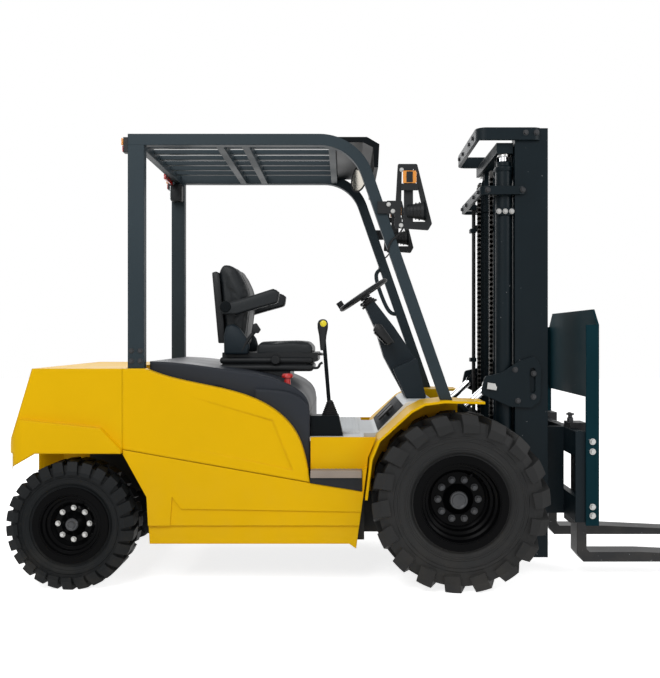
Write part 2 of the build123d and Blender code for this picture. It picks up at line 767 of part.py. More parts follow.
def guard_visor():
    """Dark front visor hung between the rails."""
    x = front_axle_x
    top = guard_top_z - 3
    edge = [(x - 606, top), (x - 450, top), (x - 388, top - 36), (x - 394, top - 152), (x - 414, top - 152),
            (x - 420, top - 52), (x - 470, top - 27), (x - 606, top - 27)]
    return side_plate(edge, -rail_in_y + seat_gap, rail_in_y - seat_gap)


def headlamps():
    """Lamp cluster on each front pillar: bracket, open guard plate, lamp and indicator."""
    z = guard_top_z - lamp_drop
    x = pillar_x(z)
    y = guard_half_width + seat_gap
    plate = [(x + 85, z + 232), (x + 180, z + 232), (x + 253, z - 62), (x + 235, z - 94), (x + 67, z - 82)]
    window = [(x + 105, z + 208), (x + 163, z + 208), (x + 220, z - 52), (x + 100, z - 52)]
    cluster = side_plate(plate, -y - 12, -y, 8) - side_plate(window, -y - 13, -y + 1)
    cluster += block(x - 15, x + 89, -y - 12, -y, z - 12, z + 48)
    lamp = Pos(x + 170, -y - 6, z) * Rot(0, 90, 0) * Cone(30, 44, 80)
    cluster += lamp + block(x + 115, x + 160, -y - 12, -y, z - 60, z + 218)
    cluster += block(x + 123, x + 171, -y - 30, -y + 10, z + 133, z + 198)
    return both_sides(cluster)


def tail_lamps():
    """Flat lamp high on the back of each rear post."""
    back = rear_axle_x + post_x - post_depth / 2
    lamp = block(back - 24, back - seat_gap, -guard_half_width + 6, -rail_in_y - 6, guard_top_z - 90, guard_top_z - 15)
    return both_sides(lamp)


# Mast


rail_x = front_axle_x + mast_back
rail_front_x = rail_x + mast_depth
inner_x = rail_x + outer_flange + run_gap
inner_front_x = rail_front_x - outer_flange - run_gap
inner_half = mast_half_width - outer_web - run_gap
inner_tip = inner_half - inner_channel_width
lift_x = front_axle_x + 270.0
barrel_foot_z = 470.0
barrel_top_z = 2095.0
gland_top_z = 2146.0
head_z = 2185.0
head_top_z = 2240.0
sheave_z = 2112.0
sheave_x = front_axle_x + sheave_dx
anchor_z = 600.0
cheek = 9.0


def channel(x0, x1, out_y, tip_y, web, flange, z0, z1):
    """Right-hand rail: a channel that opens towards the middle of the truck."""
    outline = [(x0, -out_y), (x1, -out_y), (x1, -tip_y), (x1 - flange, -tip_y), (x1 - flange, -out_y + web),
               (x0 + flange, -out_y + web), (x0 + flange, -tip_y), (x0, -tip_y)]
    return plan_plate(outline, z0, z1)


def mast_outer_rails():
    """Pair of outer channels."""
    tip = mast_half_width - outer_channel_width
    return both_sides(channel(rail_x, rail_front_x, mast_half_width, tip, outer_web, outer_flange,
                              mast_bottom_z, mast_top_z))


def u_band(back_x, front_x, thickness, z0, z1):
    """Flat bar bent round the back of both outer rails."""
    half = mast_half_width + seat_gap
    outer = [(back_x, -half - thickness), (front_x, -half - thickness), (front_x, half + thickness),
             (back_x, half + thickness)]
    band = plan_plate(outer, z0, z1, 3 * thickness)
    return band - block(back_x + thickness, front_x + 1, -half, half, z0 - 1, z1 + 1)


def cylinder_clamp():
    """Ring that holds one lift cylinder to the middle band."""
    ring = rod_z(lift_x, -lift_cylinder_y, mast_half_width - lift_cylinder_y + 2, 1968, 2012)
    ring -= rod_z(lift_x, -lift_cylinder_y, lift_barrel_r + seat_gap, 1900, 2100)
    return ring - block(rail_x - seat_gap, rail_front_x, -mast_half_width, 0, 1900, 2100)


def tilt_bracket():
    """Plate on the rail's outer side with the tilt cylinder's pin."""
    x = front_axle_x
    y = mast_half_width + seat_gap
    edge = [(x + 140, 940), (x + 290, 874), (x + 400, 868), (x + 446, 905), (x + 453, 1080), (x + 415, 1136),
            (x + 335, 1108), (x + 250, 1050), (x + 160, 1030)]
    plate = side_plate(edge, -y - 16, -y, 18)
    plate -= side_plate([(x + 392, 944), (x + 420, 944), (x + 420, 1074), (x + 392, 1074)], -y - 20, -y + 4, 12)
    pin_x = x + tilt_pin_dx
    return plate + rod_y(pin_x, tilt_pin_z, tilt_pin_r, -y - 22, -tilt_cylinder_y + tilt_eye_width / 2 + 4)


def mast_outer_ties():
    """Cross members of the outer mast with the pivot lugs, clamps and tilt brackets."""
    x = front_axle_x
    back = rail_x - 34
    ties = u_band(x + 116, x + 462, head_band, mast_top_z - head_band_height, mast_top_z)
    middle = u_band(x + 138, x + 381, head_band - 2, 1968, 2012)
    low = block(back, rail_x - seat_gap, -mast_half_width, mast_half_width, 120, barrel_foot_z - 20)
    low += block(lift_x - lift_barrel_r, rail_x - seat_gap, -mast_half_width + cheek, mast_half_width - cheek,
                 barrel_foot_z - 20, barrel_foot_z)
    lug_y = clevis_y + clevis_plate + clevis_gap
    pivot_x = x + tilt_pivot_dx
    lug = block(pivot_x, back + 1, -lug_y - lug_plate, -lug_y, tilt_pivot_z - 50, tilt_pivot_z + 50)
    lug += rod_y(pivot_x, tilt_pivot_z, 2 * tilt_pivot_r, -lug_y - lug_plate, -lug_y)
    lug -= rod_y(pivot_x, tilt_pivot_z, tilt_pivot_r + shaft_gap, -lug_y - lug_plate - 1, -lug_y + 1)
    bar_x = lift_x - lift_barrel_r - 4
    anchor = block(bar_x - 38, bar_x, -mast_half_width, mast_half_width, anchor_z - 55, anchor_z)
    side = block(bar_x - 38, rail_x - seat_gap, -mast_half_width, -mast_half_width + cheek, anchor_z - 55, anchor_z)
    side += block(bar_x - 30, sheave_x - sheave_r + chain_depth, -chain_y - chain_width, -chain_y + chain_width,
                  anchor_z - 40, anchor_z)
    clamp = cylinder_clamp()
    bracket = tilt_bracket()
    low += lug + flipped(lug)
    anchor += side + flipped(side)
    middle += clamp + flipped(clamp)
    return Compound(children=[ties, middle, low, anchor, bracket, flipped(bracket)])


def lift_barrels():
    """Pair of lift cylinder barrels with their glands."""
    barrel = rod_z(lift_x, -lift_cylinder_y, lift_barrel_r, barrel_foot_z, barrel_top_z)
    barrel += rod_z(lift_x, -lift_cylinder_y, lift_barrel_r - 8, barrel_top_z, gland_top_z)
    bore = rod_z(lift_x, -lift_cylinder_y, lift_rod_r + shaft_gap, barrel_foot_z + 30, gland_top_z + 1)
    return both_sides(barrel - bore)


def lift_rods():
    """Pair of chromed lift rods under the inner mast's head."""
    return both_sides(rod_z(lift_x, -lift_cylinder_y, lift_rod_r, barrel_foot_z + 50, head_z))


def mast_inner_rails():
    """Pair of inner channels nested in the outer ones."""
    return both_sides(channel(inner_x, inner_front_x, inner_half, inner_tip, inner_web, inner_flange,
                              mast_bottom_z + 12, head_top_z))


def sheave():
    """Chain sheave in its hanger under the head."""
    wide = chain_width / 2 + 2
    hanger = block(sheave_x - 30, sheave_x + 30, -chain_y - wide - 12, -chain_y - wide, sheave_z - 30, head_z + 1)
    hanger += block(sheave_x - 30, sheave_x + 30, -chain_y + wide, -chain_y + wide + 12, sheave_z - 30, head_z + 1)
    disc = rod_y(sheave_x, sheave_z, sheave_r - chain_depth / 2 - seat_gap, -chain_y - wide - 1, -chain_y + wide + 1)
    return hanger + disc


def mast_inner_ties():
    """Head of the inner mast over the rods, its sheaves, and the foot tie."""
    half = inner_half + 8
    head = block(lift_x - lift_barrel_r, rail_x - run_gap, -half, half, head_z, head_top_z)
    head += block(rail_x - run_gap - 1, inner_x + inner_flange, -inner_tip + seat_gap, inner_tip - seat_gap,
                  head_z, head_top_z)
    wheel = sheave()
    foot = block(inner_x, inner_x + 40, -inner_tip + seat_gap, inner_tip - seat_gap, mast_bottom_z + 12, 200)
    return Compound(children=[head + wheel + flipped(wheel), foot])


def strand(x, y0, y1, z0, z1):
    """Straight run of leaf chain between two heights, right and left."""
    return both_sides(block(x - chain_depth / 2, x + chain_depth / 2, -y1, -y0, z0, z1))


def chain_front():
    """Strand from the sheave down to the carriage."""
    half = chain_width / 2
    return strand(sheave_x + sheave_r, chain_y - half, chain_y + half, chain_anchor_z, sheave_z)


def chain_rear_outer():
    """Outer leaves of the rear strand, standing on the outer mast's anchor."""
    x = sheave_x - sheave_r
    half = chain_width / 2
    leaves = strand(x, chain_y - half, chain_y - half + 4, anchor_z, anchor_z + lift_travel)
    return leaves + strand(x, chain_y + half - 4, chain_y + half, anchor_z, anchor_z + lift_travel)


def chain_rear_inner():
    """Inner leaves of the rear strand, hanging from the sheave."""
    half = chain_width / 2 - 5.5
    return strand(sheave_x - sheave_r, chain_y - half, chain_y + half, sheave_z - lift_travel, sheave_z)


# Tilt cylinders


tilt_foot_x = front_axle_x + tilt_foot_dx
tilt_pin_x = front_axle_x + tilt_pin_dx
tilt_length = math.hypot(tilt_pin_x - tilt_foot_x, tilt_pin_z - tilt_foot_z)
tilt_ux = (tilt_pin_x - tilt_foot_x) / tilt_length
tilt_uz = (tilt_pin_z - tilt_foot_z) / tilt_length


def along_tilt(distance):
    """Point on the right tilt cylinder's axis, measured from its foot pin."""
    return (tilt_foot_x + tilt_ux * distance, -tilt_cylinder_y, tilt_foot_z + tilt_uz * distance)


def tilt_barrel():
    """Right tilt cylinder barrel with its foot eye and the rod's bore."""
    half = tilt_eye_width / 2
    eye = rod_y(tilt_foot_x, tilt_foot_z, tilt_eye_r, -tilt_cylinder_y - half, -tilt_cylinder_y + half)
    base = tilt_eye_r + 2 * run_gap
    body = eye + rod_between(along_tilt(tilt_pin_r), along_tilt(base + run_gap), half - 1)
    body += rod_between(along_tilt(base), along_tilt(tilt_barrel_length), tilt_barrel_r)
    body -= rod_y(tilt_foot_x, tilt_foot_z, tilt_pin_r + shaft_gap, -tilt_cylinder_y - 99, -tilt_cylinder_y + 99)
    low = tilt_length - tilt_rod_length - 95
    return body - rod_between(along_tilt(low), along_tilt(tilt_barrel_length + 1), tilt_rod_r + shaft_gap)


def tilt_rod():
    """Right tilt cylinder rod with the eye that stands round the mast's pin."""
    half = tilt_eye_width / 2
    eye = rod_y(tilt_pin_x, tilt_pin_z, tilt_eye_r, -tilt_cylinder_y - half, -tilt_cylinder_y + half)
    rod = eye + rod_between(along_tilt(tilt_length - tilt_rod_length), along_tilt(tilt_length - tilt_eye_r / 2),
                            tilt_rod_r)
    return rod - rod_y(tilt_pin_x, tilt_pin_z, tilt_pin_r + eye_gap, -tilt_cylinder_y - 99, -tilt_cylinder_y + 99)


# Carriage and forks


bar_x = fork_face_x - fork_thickness - carriage_bar
bar_front_x = bar_x + carriage_bar
carriage_top_z = upper_bar_z + bar_height
chain_anchor_z = 520.0
carriage_plate = 30.0
roller_r = (inner_front_x - inner_x) / 2 - inner_flange - run_gap


def carriage():
    """Two fork bars with end plates, roller plates, rollers and chain anchors."""
    whole = Part()
    for z in (lower_bar_z, upper_bar_z):
        whole += block(bar_x, bar_front_x, -carriage_half_width, carriage_half_width, z, z + bar_height)
    out = inner_tip - 8
    side = block(inner_x + inner_flange + 8, bar_x + 1, -out, -out + carriage_plate, lower_bar_z, carriage_top_z)
    side += block(bar_x, bar_front_x + 62, -carriage_half_width - 15, -carriage_half_width, lower_bar_z, carriage_top_z)
    roller_x = (inner_x + inner_front_x) / 2
    for z in (lower_bar_z + 60, upper_bar_z + 66):
        side += rod_y(roller_x, z, roller_r, -inner_half + inner_web + run_gap, -out + 1)
    strand_x = sheave_x + sheave_r
    side += block(strand_x - chain_depth / 2, inner_x + inner_flange + 9, -out, -chain_y + chain_width / 2,
                  chain_anchor_z - 30, chain_anchor_z)
    return whole + side + flipped(side)


def forks():
    """Pair of L-shaped forks hooked on the carriage bars."""
    x = bar_front_x
    tip = fork_face_x + fork_length
    low = fork_bottom_z
    edge = [(x + seat_gap, carriage_top_z + 30), (x + seat_gap, low + 40), (x + 34, low), (tip, low), (tip, low + 14),
            (fork_face_x + 280, low + fork_thickness), (fork_face_x + 16, low + fork_thickness),
            (fork_face_x, low + fork_thickness + 16),
            (fork_face_x, carriage_top_z + 30)]
    fork = side_plate(edge, -fork_gap_half - fork_width, -fork_gap_half)
    for z0, z1 in ((carriage_top_z + seat_gap, carriage_top_z + 30), (lower_bar_z - 28, lower_bar_z - seat_gap)):
        fork += block(bar_x + 4, x + seat_gap + 1, -fork_gap_half - fork_width, -fork_gap_half, z0, z1)
    tip_plan = [(x - 200, -fork_gap_half - fork_width), (tip - 90, -fork_gap_half - fork_width),
                (tip, -fork_gap_half - 0.72 * fork_width), (tip, -fork_gap_half - 0.28 * fork_width),
                (tip - 90, -fork_gap_half), (x - 200, -fork_gap_half)]
    return both_sides(fork & plan_plate(tip_plan, 0, 2 * carriage_top_z))


def load_backrest():
    """Solid load backrest plate with side flanges bolted to the carriage ends."""
    front = bar_front_x + 75
    half = backrest_half_width
    low = 920.0
    plate = cross_plate([(-half, low), (half, low), (half, backrest_top_z - 80), (half - 80, backrest_top_z),
                         (-half + 80, backrest_top_z), (-half, backrest_top_z - 80)], front - backrest_plate, front)
    flange = block(front - backrest_flange, front, -half, -carriage_half_width - 15 - seat_gap, 290, backrest_top_z - 80)
    return plate + flange + flipped(flange)


# Placing and writing the pieces


def wheel_at(shape, x, y, z, left):
    """Wheel piece at its axle end, outer face outwards."""
    return Pos(x, y if left else -y, z) * (flipped(shape) if left else shape)


def build_parts():
    """All pieces by node name."""
    parts = {
        "frame": frame(), "battery": battery(), "counterweight": counterweight(), "side_panels": side_panels(),
        "side_skirts": side_skirts(), "steps": steps(), "floor_board": floor_board(), "leg_panel": leg_panel(),
        "toe_board": toe_board(), "front_fenders": front_fenders(), "rear_beam": rear_beam(),
        "drive_axle": drive_axle(), "steer_axle": steer_axle(), "steering_column": steering_column(),
        "lever_console": lever_console(), "guard_sides": guard_sides(), "guard_posts": guard_posts(),
        "guard_roof": guard_roof(), "guard_visor": guard_visor(), "headlamps": headlamps(),
        "tail_lamps": tail_lamps(), "steering_wheel": steering_wheel(), "hood": hood(), "seat_base": seat_base(),
        "seat_cushion": seat_cushion(), "seat_back": seat_back(), "armrests": armrests(),
        "mast_outer_rails": mast_outer_rails(), "mast_outer_ties": mast_outer_ties(),
        "lift_barrels": lift_barrels(), "chain_rear_outer": chain_rear_outer(),
        "mast_inner_rails": mast_inner_rails(), "mast_inner_ties": mast_inner_ties(), "lift_rods": lift_rods(),
        "chain_rear_inner": chain_rear_inner(), "chain_front": chain_front(), "carriage": carriage(),
        "forks": forks(), "load_backrest": load_backrest(),
    }
    wheels = {"front_tyre": (front_tyre(), front_axle_x, front_wheel_y, front_wheel_z),
              "front_rim": (front_rim(), front_axle_x, front_wheel_y, front_wheel_z),
              "rear_tyre": (rear_tyre(), rear_axle_x, rear_wheel_y, rear_wheel_z),
              "rear_rim": (rear_rim(), rear_axle_x, rear_wheel_y, rear_wheel_z)}
    for name, (shape, x, y, z) in wheels.items():
        parts[name + "_right"] = wheel_at(shape, x, y, z, False)
        parts[name + "_left"] = wheel_at(shape, x, y, z, True)
    for name, shape in (("knuckle", knuckle()), ("tilt_barrel", tilt_barrel()), ("tilt_rod", tilt_rod())):
        parts[name + "_right"] = shape
        parts[name + "_left"] = flipped(shape)
    return parts


os.makedirs("parts", exist_ok=True)
for node, piece in build_parts().items():
    export_step(piece, f"parts/{node}.step")
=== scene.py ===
import logging
import math
from dataclasses import dataclass, field, replace
from enum import Enum
from typing import Iterable, Optional, Sequence

import bpy
from mathutils import Matrix, Vector
from mathutils.bvhtree import BVHTree


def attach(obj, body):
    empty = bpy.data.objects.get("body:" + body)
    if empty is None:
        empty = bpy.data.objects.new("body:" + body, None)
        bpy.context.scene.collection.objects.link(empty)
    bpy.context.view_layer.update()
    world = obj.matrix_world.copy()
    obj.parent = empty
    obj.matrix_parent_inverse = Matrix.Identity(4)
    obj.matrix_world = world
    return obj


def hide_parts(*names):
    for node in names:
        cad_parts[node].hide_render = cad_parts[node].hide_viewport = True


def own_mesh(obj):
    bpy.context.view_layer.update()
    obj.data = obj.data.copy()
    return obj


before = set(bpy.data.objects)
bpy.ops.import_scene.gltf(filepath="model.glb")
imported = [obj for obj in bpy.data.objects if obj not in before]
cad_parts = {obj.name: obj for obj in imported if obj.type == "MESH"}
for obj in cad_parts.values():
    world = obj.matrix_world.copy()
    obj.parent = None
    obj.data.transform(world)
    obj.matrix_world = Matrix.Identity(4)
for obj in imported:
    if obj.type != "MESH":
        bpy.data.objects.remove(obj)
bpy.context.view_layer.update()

log = logging.getLogger("forklift")
Point = tuple[float, float, float]
Flat = tuple[float, float]
Object = bpy.types.Object
Node = bpy.types.Node
NodeTree = bpy.types.NodeTree
Socket = bpy.types.NodeSocket
SocketList = Sequence[tuple[str, str]]


class Body(Enum):
    """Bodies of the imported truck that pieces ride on."""

    CHASSIS = "chassis"
    HOOD = "hood"
    FRONT_RIGHT = "front_wheel_right"
    FRONT_LEFT = "front_wheel_left"
    REAR_RIGHT = "rear_wheel_right"
    REAR_LEFT = "rear_wheel_left"
    MAST_OUTER = "mast_outer"
    MAST_INNER = "mast_inner"
    CARRIAGE = "carriage"
    TILT_RIGHT = "tilt_barrel_right"
    TILT_LEFT = "tilt_barrel_left"


SIDES = (("right", -1), ("left", 1))
WELD = 0.00002


class Turn(Enum):
    """Axis that a turned piece is spun about."""

    X = "X"
    Y = "Y"
    Z = "Z"


# Workshop helpers


def clear_selection() -> None:
    """Leave edit mode and deselect everything."""
    if bpy.context.object and bpy.context.object.mode != "OBJECT":
        bpy.ops.object.mode_set(mode="OBJECT")
    bpy.ops.object.select_all(action="DESELECT")


def take(obj: Object) -> None:
    """Make one object the only selected and the active one.

    Args:
        obj: The object to take.
    """
    clear_selection()
    obj.select_set(True)
    bpy.context.view_layer.objects.active = obj


def settle(obj: Object, name: str) -> Object:
    """Name an object and put its place into its mesh.

    Args:
        obj: The object to settle.
        name: Its plain name.

    Returns:
        The same object, at the origin.
    """
    take(obj)
    bpy.ops.object.transform_apply(location=True, rotation=True, scale=True)
    obj.name = name
    obj.data.name = name
    return obj


def apply_modifier(obj: Object, kind: str, **settings: object) -> None:
    """Add a modifier, set it and apply it.

    Args:
        obj: The object to change.
        kind: Blender's modifier type.
        settings: The modifier's values by name.
    """
    take(obj)
    modifier = obj.modifiers.new(kind.lower(), kind)
    for key, value in settings.items():
        setattr(modifier, key, value)
    bpy.ops.object.modifier_apply(modifier=modifier.name)


def soften(obj: Object, width: float, segments: int = 2) -> Object:
    """Round an object's sharp edges.

    Args:
        obj: The object to soften.
        width: Width of the rounding.
        segments: Faces across the rounding.

    Returns:
        The same object.
    """
    apply_modifier(obj, "BEVEL", width=width, segments=segments, limit_method="ANGLE",
                   angle_limit=math.radians(30))
    return obj


def smooth(obj: Object, degrees: float = 35.0) -> Object:
    """Shade an object smooth up to an edge angle.

    Args:
        obj: The object to shade.
        degrees: Edges sharper than this stay sharp.

    Returns:
        The same object.
    """
    take(obj)
    bpy.ops.object.shade_smooth_by_angle(angle=math.radians(degrees))
    return obj


def block(name: str, low: Point, high: Point, rounding: float = 0.0) -> Object:
    """Model a box between two corners with rounded edges.

    Args:
        name: Plain name.
        low: Lowest corner.
        high: Highest corner.
        rounding: Width of the edge rounding.

    Returns:
        The new object.
    """
    clear_selection()
    middle = [(a + b) / 2 for a, b in zip(low, high)]
    bpy.ops.mesh.primitive_cube_add(size=1.0, location=middle, scale=[b - a for a, b in zip(low, high)])
    obj = settle(bpy.context.object, name)
    if rounding:
        soften(obj, rounding)
    return obj


def recalculated(obj: Object) -> Object:
    """Merge doubles and turn all faces outwards.

    Args:
        obj: The object to mend.

    Returns:
        The same object.
    """
    take(obj)
    bpy.ops.object.mode_set(mode="EDIT")
    bpy.ops.mesh.select_all(action="SELECT")
    bpy.ops.mesh.remove_doubles(threshold=WELD)
    bpy.ops.mesh.normals_make_consistent(inside=False)
    bpy.ops.object.mode_set(mode="OBJECT")
    return obj


def outline_mesh(name: str, points: Sequence[Point], closed: bool) -> Object:
    """Start a piece from a drawn line.

    Args:
        name: Plain name.
        points: Corners of the line.
        closed: Whether the line is filled to a face.

    Returns:
        The new object.
    """
    mesh = bpy.data.meshes.new(name)
    count = len(points)
    edges = [] if closed else [(k, k + 1) for k in range(count - 1)]
    mesh.from_pydata(points, edges, [list(range(count))] if closed else [])
    obj = bpy.data.objects.new(name, mesh)
    bpy.context.collection.objects.link(obj)
    return obj


def plate(name: str, points: Sequence[Flat], y0: float, y1: float, rounding: float = 0.0) -> Object:
    """Model a plate whose outline is seen from the side.

    Args:
        name: Plain name.
        points: Outline as (x, z).
        y0: Right face.
        y1: Left face.
        rounding: Width of the edge rounding.

    Returns:
        The new object.
    """
    obj = outline_mesh(name, [(x, y0, z) for x, z in points], True)
    take(obj)
    bpy.ops.object.mode_set(mode="EDIT")
    bpy.ops.mesh.select_all(action="SELECT")
    bpy.ops.mesh.extrude_region_move(TRANSFORM_OT_translate={"value": (0, y1 - y0, 0)})
    bpy.ops.object.mode_set(mode="OBJECT")
    recalculated(obj)
    if rounding:
        soften(obj, rounding)
    return obj


def turned(name: str, profile: Sequence[Flat], centre: Point, axis: Turn, steps: int = 48) -> Object:
    """Spin a profile into a round piece.

    Args:
        name: Plain name.
        profile: (distance along the axis, radius) points.
        centre: Point on the axis that distances start from.
        axis: Axis to spin about.
        steps: Faces round the axis.

    Returns:
        The new object.
    """
    lay = {
        Turn.X: lambda a, r: (a, r, 0.0),
        Turn.Y: lambda a, r: (r, a, 0.0),
        Turn.Z: lambda a, r: (r, 0.0, a),
    }
    obj = outline_mesh(name, [lay[axis](a, r) for a, r in profile], False)
    apply_modifier(obj, "SCREW", axis=axis.value, steps=steps, render_steps=steps, use_merge_vertices=True,
                   merge_threshold=WELD)
    obj.location = centre
    settle(obj, name)
    return smooth(recalculated(obj))


def tube(name: str, points: Sequence[Point], radius: float) -> Object:
    """Model a smooth bent tube along a few points.

    Args:
        name: Plain name.
        points: Control points of the tube's line.
        radius: Radius of the tube.

    Returns:
        The new mesh object.
    """
    curve = bpy.data.curves.new(name, "CURVE")
    curve.dimensions = "3D"
    curve.bevel_depth = radius
    curve.bevel_resolution = 3
    curve.use_fill_caps = True
    spline = curve.splines.new("NURBS")
    spline.points.add(len(points) - 1)
    for knot, point in zip(spline.points, points):
        knot.co = (*point, 1.0)
    spline.order_u = 3
    spline.use_endpoint_u = True
    spline.resolution_u = 6
    obj = bpy.data.objects.new(name, curve)
    bpy.context.collection.objects.link(obj)
    take(obj)
    bpy.ops.object.convert(target="MESH")
    return smooth(settle(bpy.context.object, name), 50)


def copies(name: str, master: Object, places: Iterable[Matrix]) -> Object:
    """Copy a master piece to many places and join the copies.

    Args:
        name: Plain name of the joined piece.
        master: The piece, modelled at the origin; it is removed.
        places: Where each copy goes.

    Returns:
        The joined object.
    """
    made = []
    for place in places:
        mesh = master.data.copy()
        mesh.transform(place)
        if place.determinant() < 0:
            mesh.flip_normals()
        copy = bpy.data.objects.new(name, mesh)
        bpy.context.collection.objects.link(copy)
        made.append(copy)
    bpy.data.objects.remove(master)
    return joined(name, made)


def joined(name: str, objects: Sequence[Object]) -> Object:
    """Join objects into one piece.

    Args:
        name: Plain name of the joined piece.
        objects: The objects; the first keeps its materials first.

    Returns:
        The joined object.
    """
    clear_selection()
    for obj in objects:
        obj.select_set(True)
    bpy.context.view_layer.objects.active = objects[0]
    if len(objects) > 1:
        bpy.ops.object.join()
    return settle(bpy.context.object, name)


def mirrored(name: str, obj: Object) -> Object:
    """Copy a piece to the other side of the truck.

    Args:
        name: Plain name of the copy.
        obj: The piece on one side.

    Returns:
        The copy on the other side.
    """
    mesh = obj.data.copy()
    mesh.transform(Matrix.Scale(-1, 4, (0, 1, 0)))
    mesh.flip_normals()
    copy = bpy.data.objects.new(name, mesh)
    bpy.context.collection.objects.link(copy)
    return copy


def aim(direction: Point, spot: Point) -> Matrix:
    """Matrix that stands a piece made along +Z on a spot.

    Args:
        direction: Where the piece's +Z goes.
        spot: Where its origin goes.

    Returns:
        The placing matrix.
    """
    turn = Vector(direction).to_track_quat("Z", "Y").to_matrix().to_4x4()
    return Matrix.Translation(spot) @ turn


def bolt(radius: float, height: float) -> Object:
    """Model a hexagon bolt head along +Z with a chamfer and a washer.

    Args:
        radius: Radius over the corners.
        height: Height of the head.

    Returns:
        The new object, at the origin.
    """
    clear_selection()
    bpy.ops.mesh.primitive_cylinder_add(vertices=6, radius=radius, depth=height,
                                        location=(0, 0, height * 0.7))
    head = settle(bpy.context.object, "bolt")
    soften(head, radius * 0.12, 1)
    clear_selection()
    bpy.ops.mesh.primitive_cylinder_add(vertices=18, radius=radius * 1.35, depth=height * 0.5,
                                        location=(0, 0, 0))
    ring = settle(bpy.context.object, "washer")
    soften(ring, height * 0.08, 1)
    return joined("bolt", [head, ring])


# Node trees and finishes


@dataclass
class Tree:
    """Short hand for building one node tree."""

    tree: NodeTree

    def node(self, kind: str, **settings: object) -> Node:
        """Add a node.

        Args:
            kind: Blender's node type.
            settings: Node properties by name.

        Returns:
            The new node.
        """
        made = self.tree.nodes.new(kind)
        for key, value in settings.items():
            setattr(made, key, value)
        return made

    def feed(self, socket: Socket, value: object) -> None:
        """Link a socket, or set its value.

        Args:
            socket: The input to feed.
            value: An output socket or a plain value.
        """
        if isinstance(value, Socket):
            self.tree.links.new(value, socket)
        else:
            socket.default_value = value

    def math(self, operation: str, *values: object) -> Socket:
        """Add a math node.

        Args:
            operation: Blender's math operation.
            values: Inputs, each a socket or a number.

        Returns:
            The result.
        """
        made = self.node("ShaderNodeMath", operation=operation)
        for socket, value in zip(made.inputs, values):
            self.feed(socket, value)
        return made.outputs[0]

    def ramp(self, value: Socket, low: float, high: float, out_low: float, out_high: float) -> Socket:
        """Map a value smoothly from one range to another.

        Args:
            value: The value to map.
            low: Start of its range.
            high: End of its range.
            out_low: Result at the start.
            out_high: Result at the end.

        Returns:
            The mapped value.
        """
        made = self.node("ShaderNodeMapRange", interpolation_type="SMOOTHSTEP")
        for socket, item in zip(made.inputs, (value, low, high, out_low, out_high)):
            self.feed(socket, item)
        return made.outputs[0]

    def mix(self, factor: object, first: object, second: object) -> Socket:
        """Mix two colours.

        Args:
            factor: Share of the second colour.
            first: First colour.
            second: Second colour.

        Returns:
            The mixed colour.
        """
        made = self.node("ShaderNodeMix", data_type="RGBA")
        self.feed(made.inputs["Factor"], factor)
        self.feed(made.inputs[6], first)
        self.feed(made.inputs[7], second)
        return made.outputs[2]

    def noise(self, vector: Socket, scale: object, detail: float) -> Socket:
        """Add a noise texture and return its value.

        Args:
            vector: Coordinates.
            scale: Noise scale.
            detail: Octaves of detail.

        Returns:
            The noise value.
        """
        made = self.node("ShaderNodeTexNoise")
        self.feed(made.inputs["Vector"], vector)
        self.feed(made.inputs["Scale"], scale)
        made.inputs["Detail"].default_value = detail
        return made.outputs[0]

    def group(self, tree: NodeTree, **values: object) -> Node:
        """Place a node group.

        Args:
            tree: The group's tree.
            values: Its inputs by name.

        Returns:
            The group node.
        """
        made = self.node("ShaderNodeGroup", node_tree=tree)
        for key, value in values.items():
            self.feed(made.inputs[key], value)
        return made


def new_group(name: str, inputs: SocketList, outputs: SocketList) -> tuple[Tree, Node, Node]:
    """Start a shader node group.

    Args:
        name: Name of the group.
        inputs: (name, socket type) of each input.
        outputs: (name, socket type) of each output.

    Returns:
        The tree, its input node and its output node.
    """
    tree = bpy.data.node_groups.new(name, "ShaderNodeTree")
    for label, kind in inputs:
        tree.interface.new_socket(label, in_out="INPUT", socket_type=kind)
    for label, kind in outputs:
        tree.interface.new_socket(label, in_out="OUTPUT", socket_type=kind)
    nodes = Tree(tree)
    return nodes, nodes.node("NodeGroupInput"), nodes.node("NodeGroupOutput")


FLOAT, COLOR, VECTOR = "NodeSocketFloat", "NodeSocketColor", "NodeSocketVector"


def grain_group() -> NodeTree:
    """Fine grain of a surface with a slow change of tone.

    Returns:
        The group's tree.
    """
    nodes, given, out = new_group("surface_grain", [("Vector", VECTOR), ("Scale", FLOAT)],
                                  [("Height", FLOAT), ("Tone", FLOAT)])
    fine = nodes.noise(given.outputs["Vector"], given.outputs["Scale"], 3.0)
    slow = nodes.noise(given.outputs["Vector"], 2.3, 3.0)
    nodes.feed(out.inputs["Height"], fine)
    nodes.feed(out.inputs["Tone"], nodes.ramp(slow, 0.3, 0.7, 0.0, 1.0))
    return nodes.tree


def dust_group() -> NodeTree:
    """Dust that thins out upwards from the floor, broken up by noise.

    Returns:
        The group's tree.
    """
    nodes, given, out = new_group(
        "road_dust",
        [("Vector", VECTOR), ("Color", COLOR), ("Dust", COLOR), ("Amount", FLOAT), ("Reach", FLOAT)],
        [("Color", COLOR), ("Mask", FLOAT)])
    split = nodes.node("ShaderNodeSeparateXYZ")
    nodes.feed(split.inputs[0], given.outputs["Vector"])
    low = nodes.ramp(split.outputs["Z"], 0.0, given.outputs["Reach"], 1.0, 0.12)
    cloud = nodes.ramp(nodes.noise(given.outputs["Vector"], 9.0, 5.0), 0.35, 0.75, 0.1, 1.0)
    mask = nodes.math("MULTIPLY", nodes.math("MULTIPLY", low, cloud), given.outputs["Amount"])
    nodes.feed(out.inputs["Color"], nodes.mix(mask, given.outputs["Color"], given.outputs["Dust"]))
    nodes.feed(out.inputs["Mask"], mask)
    return nodes.tree


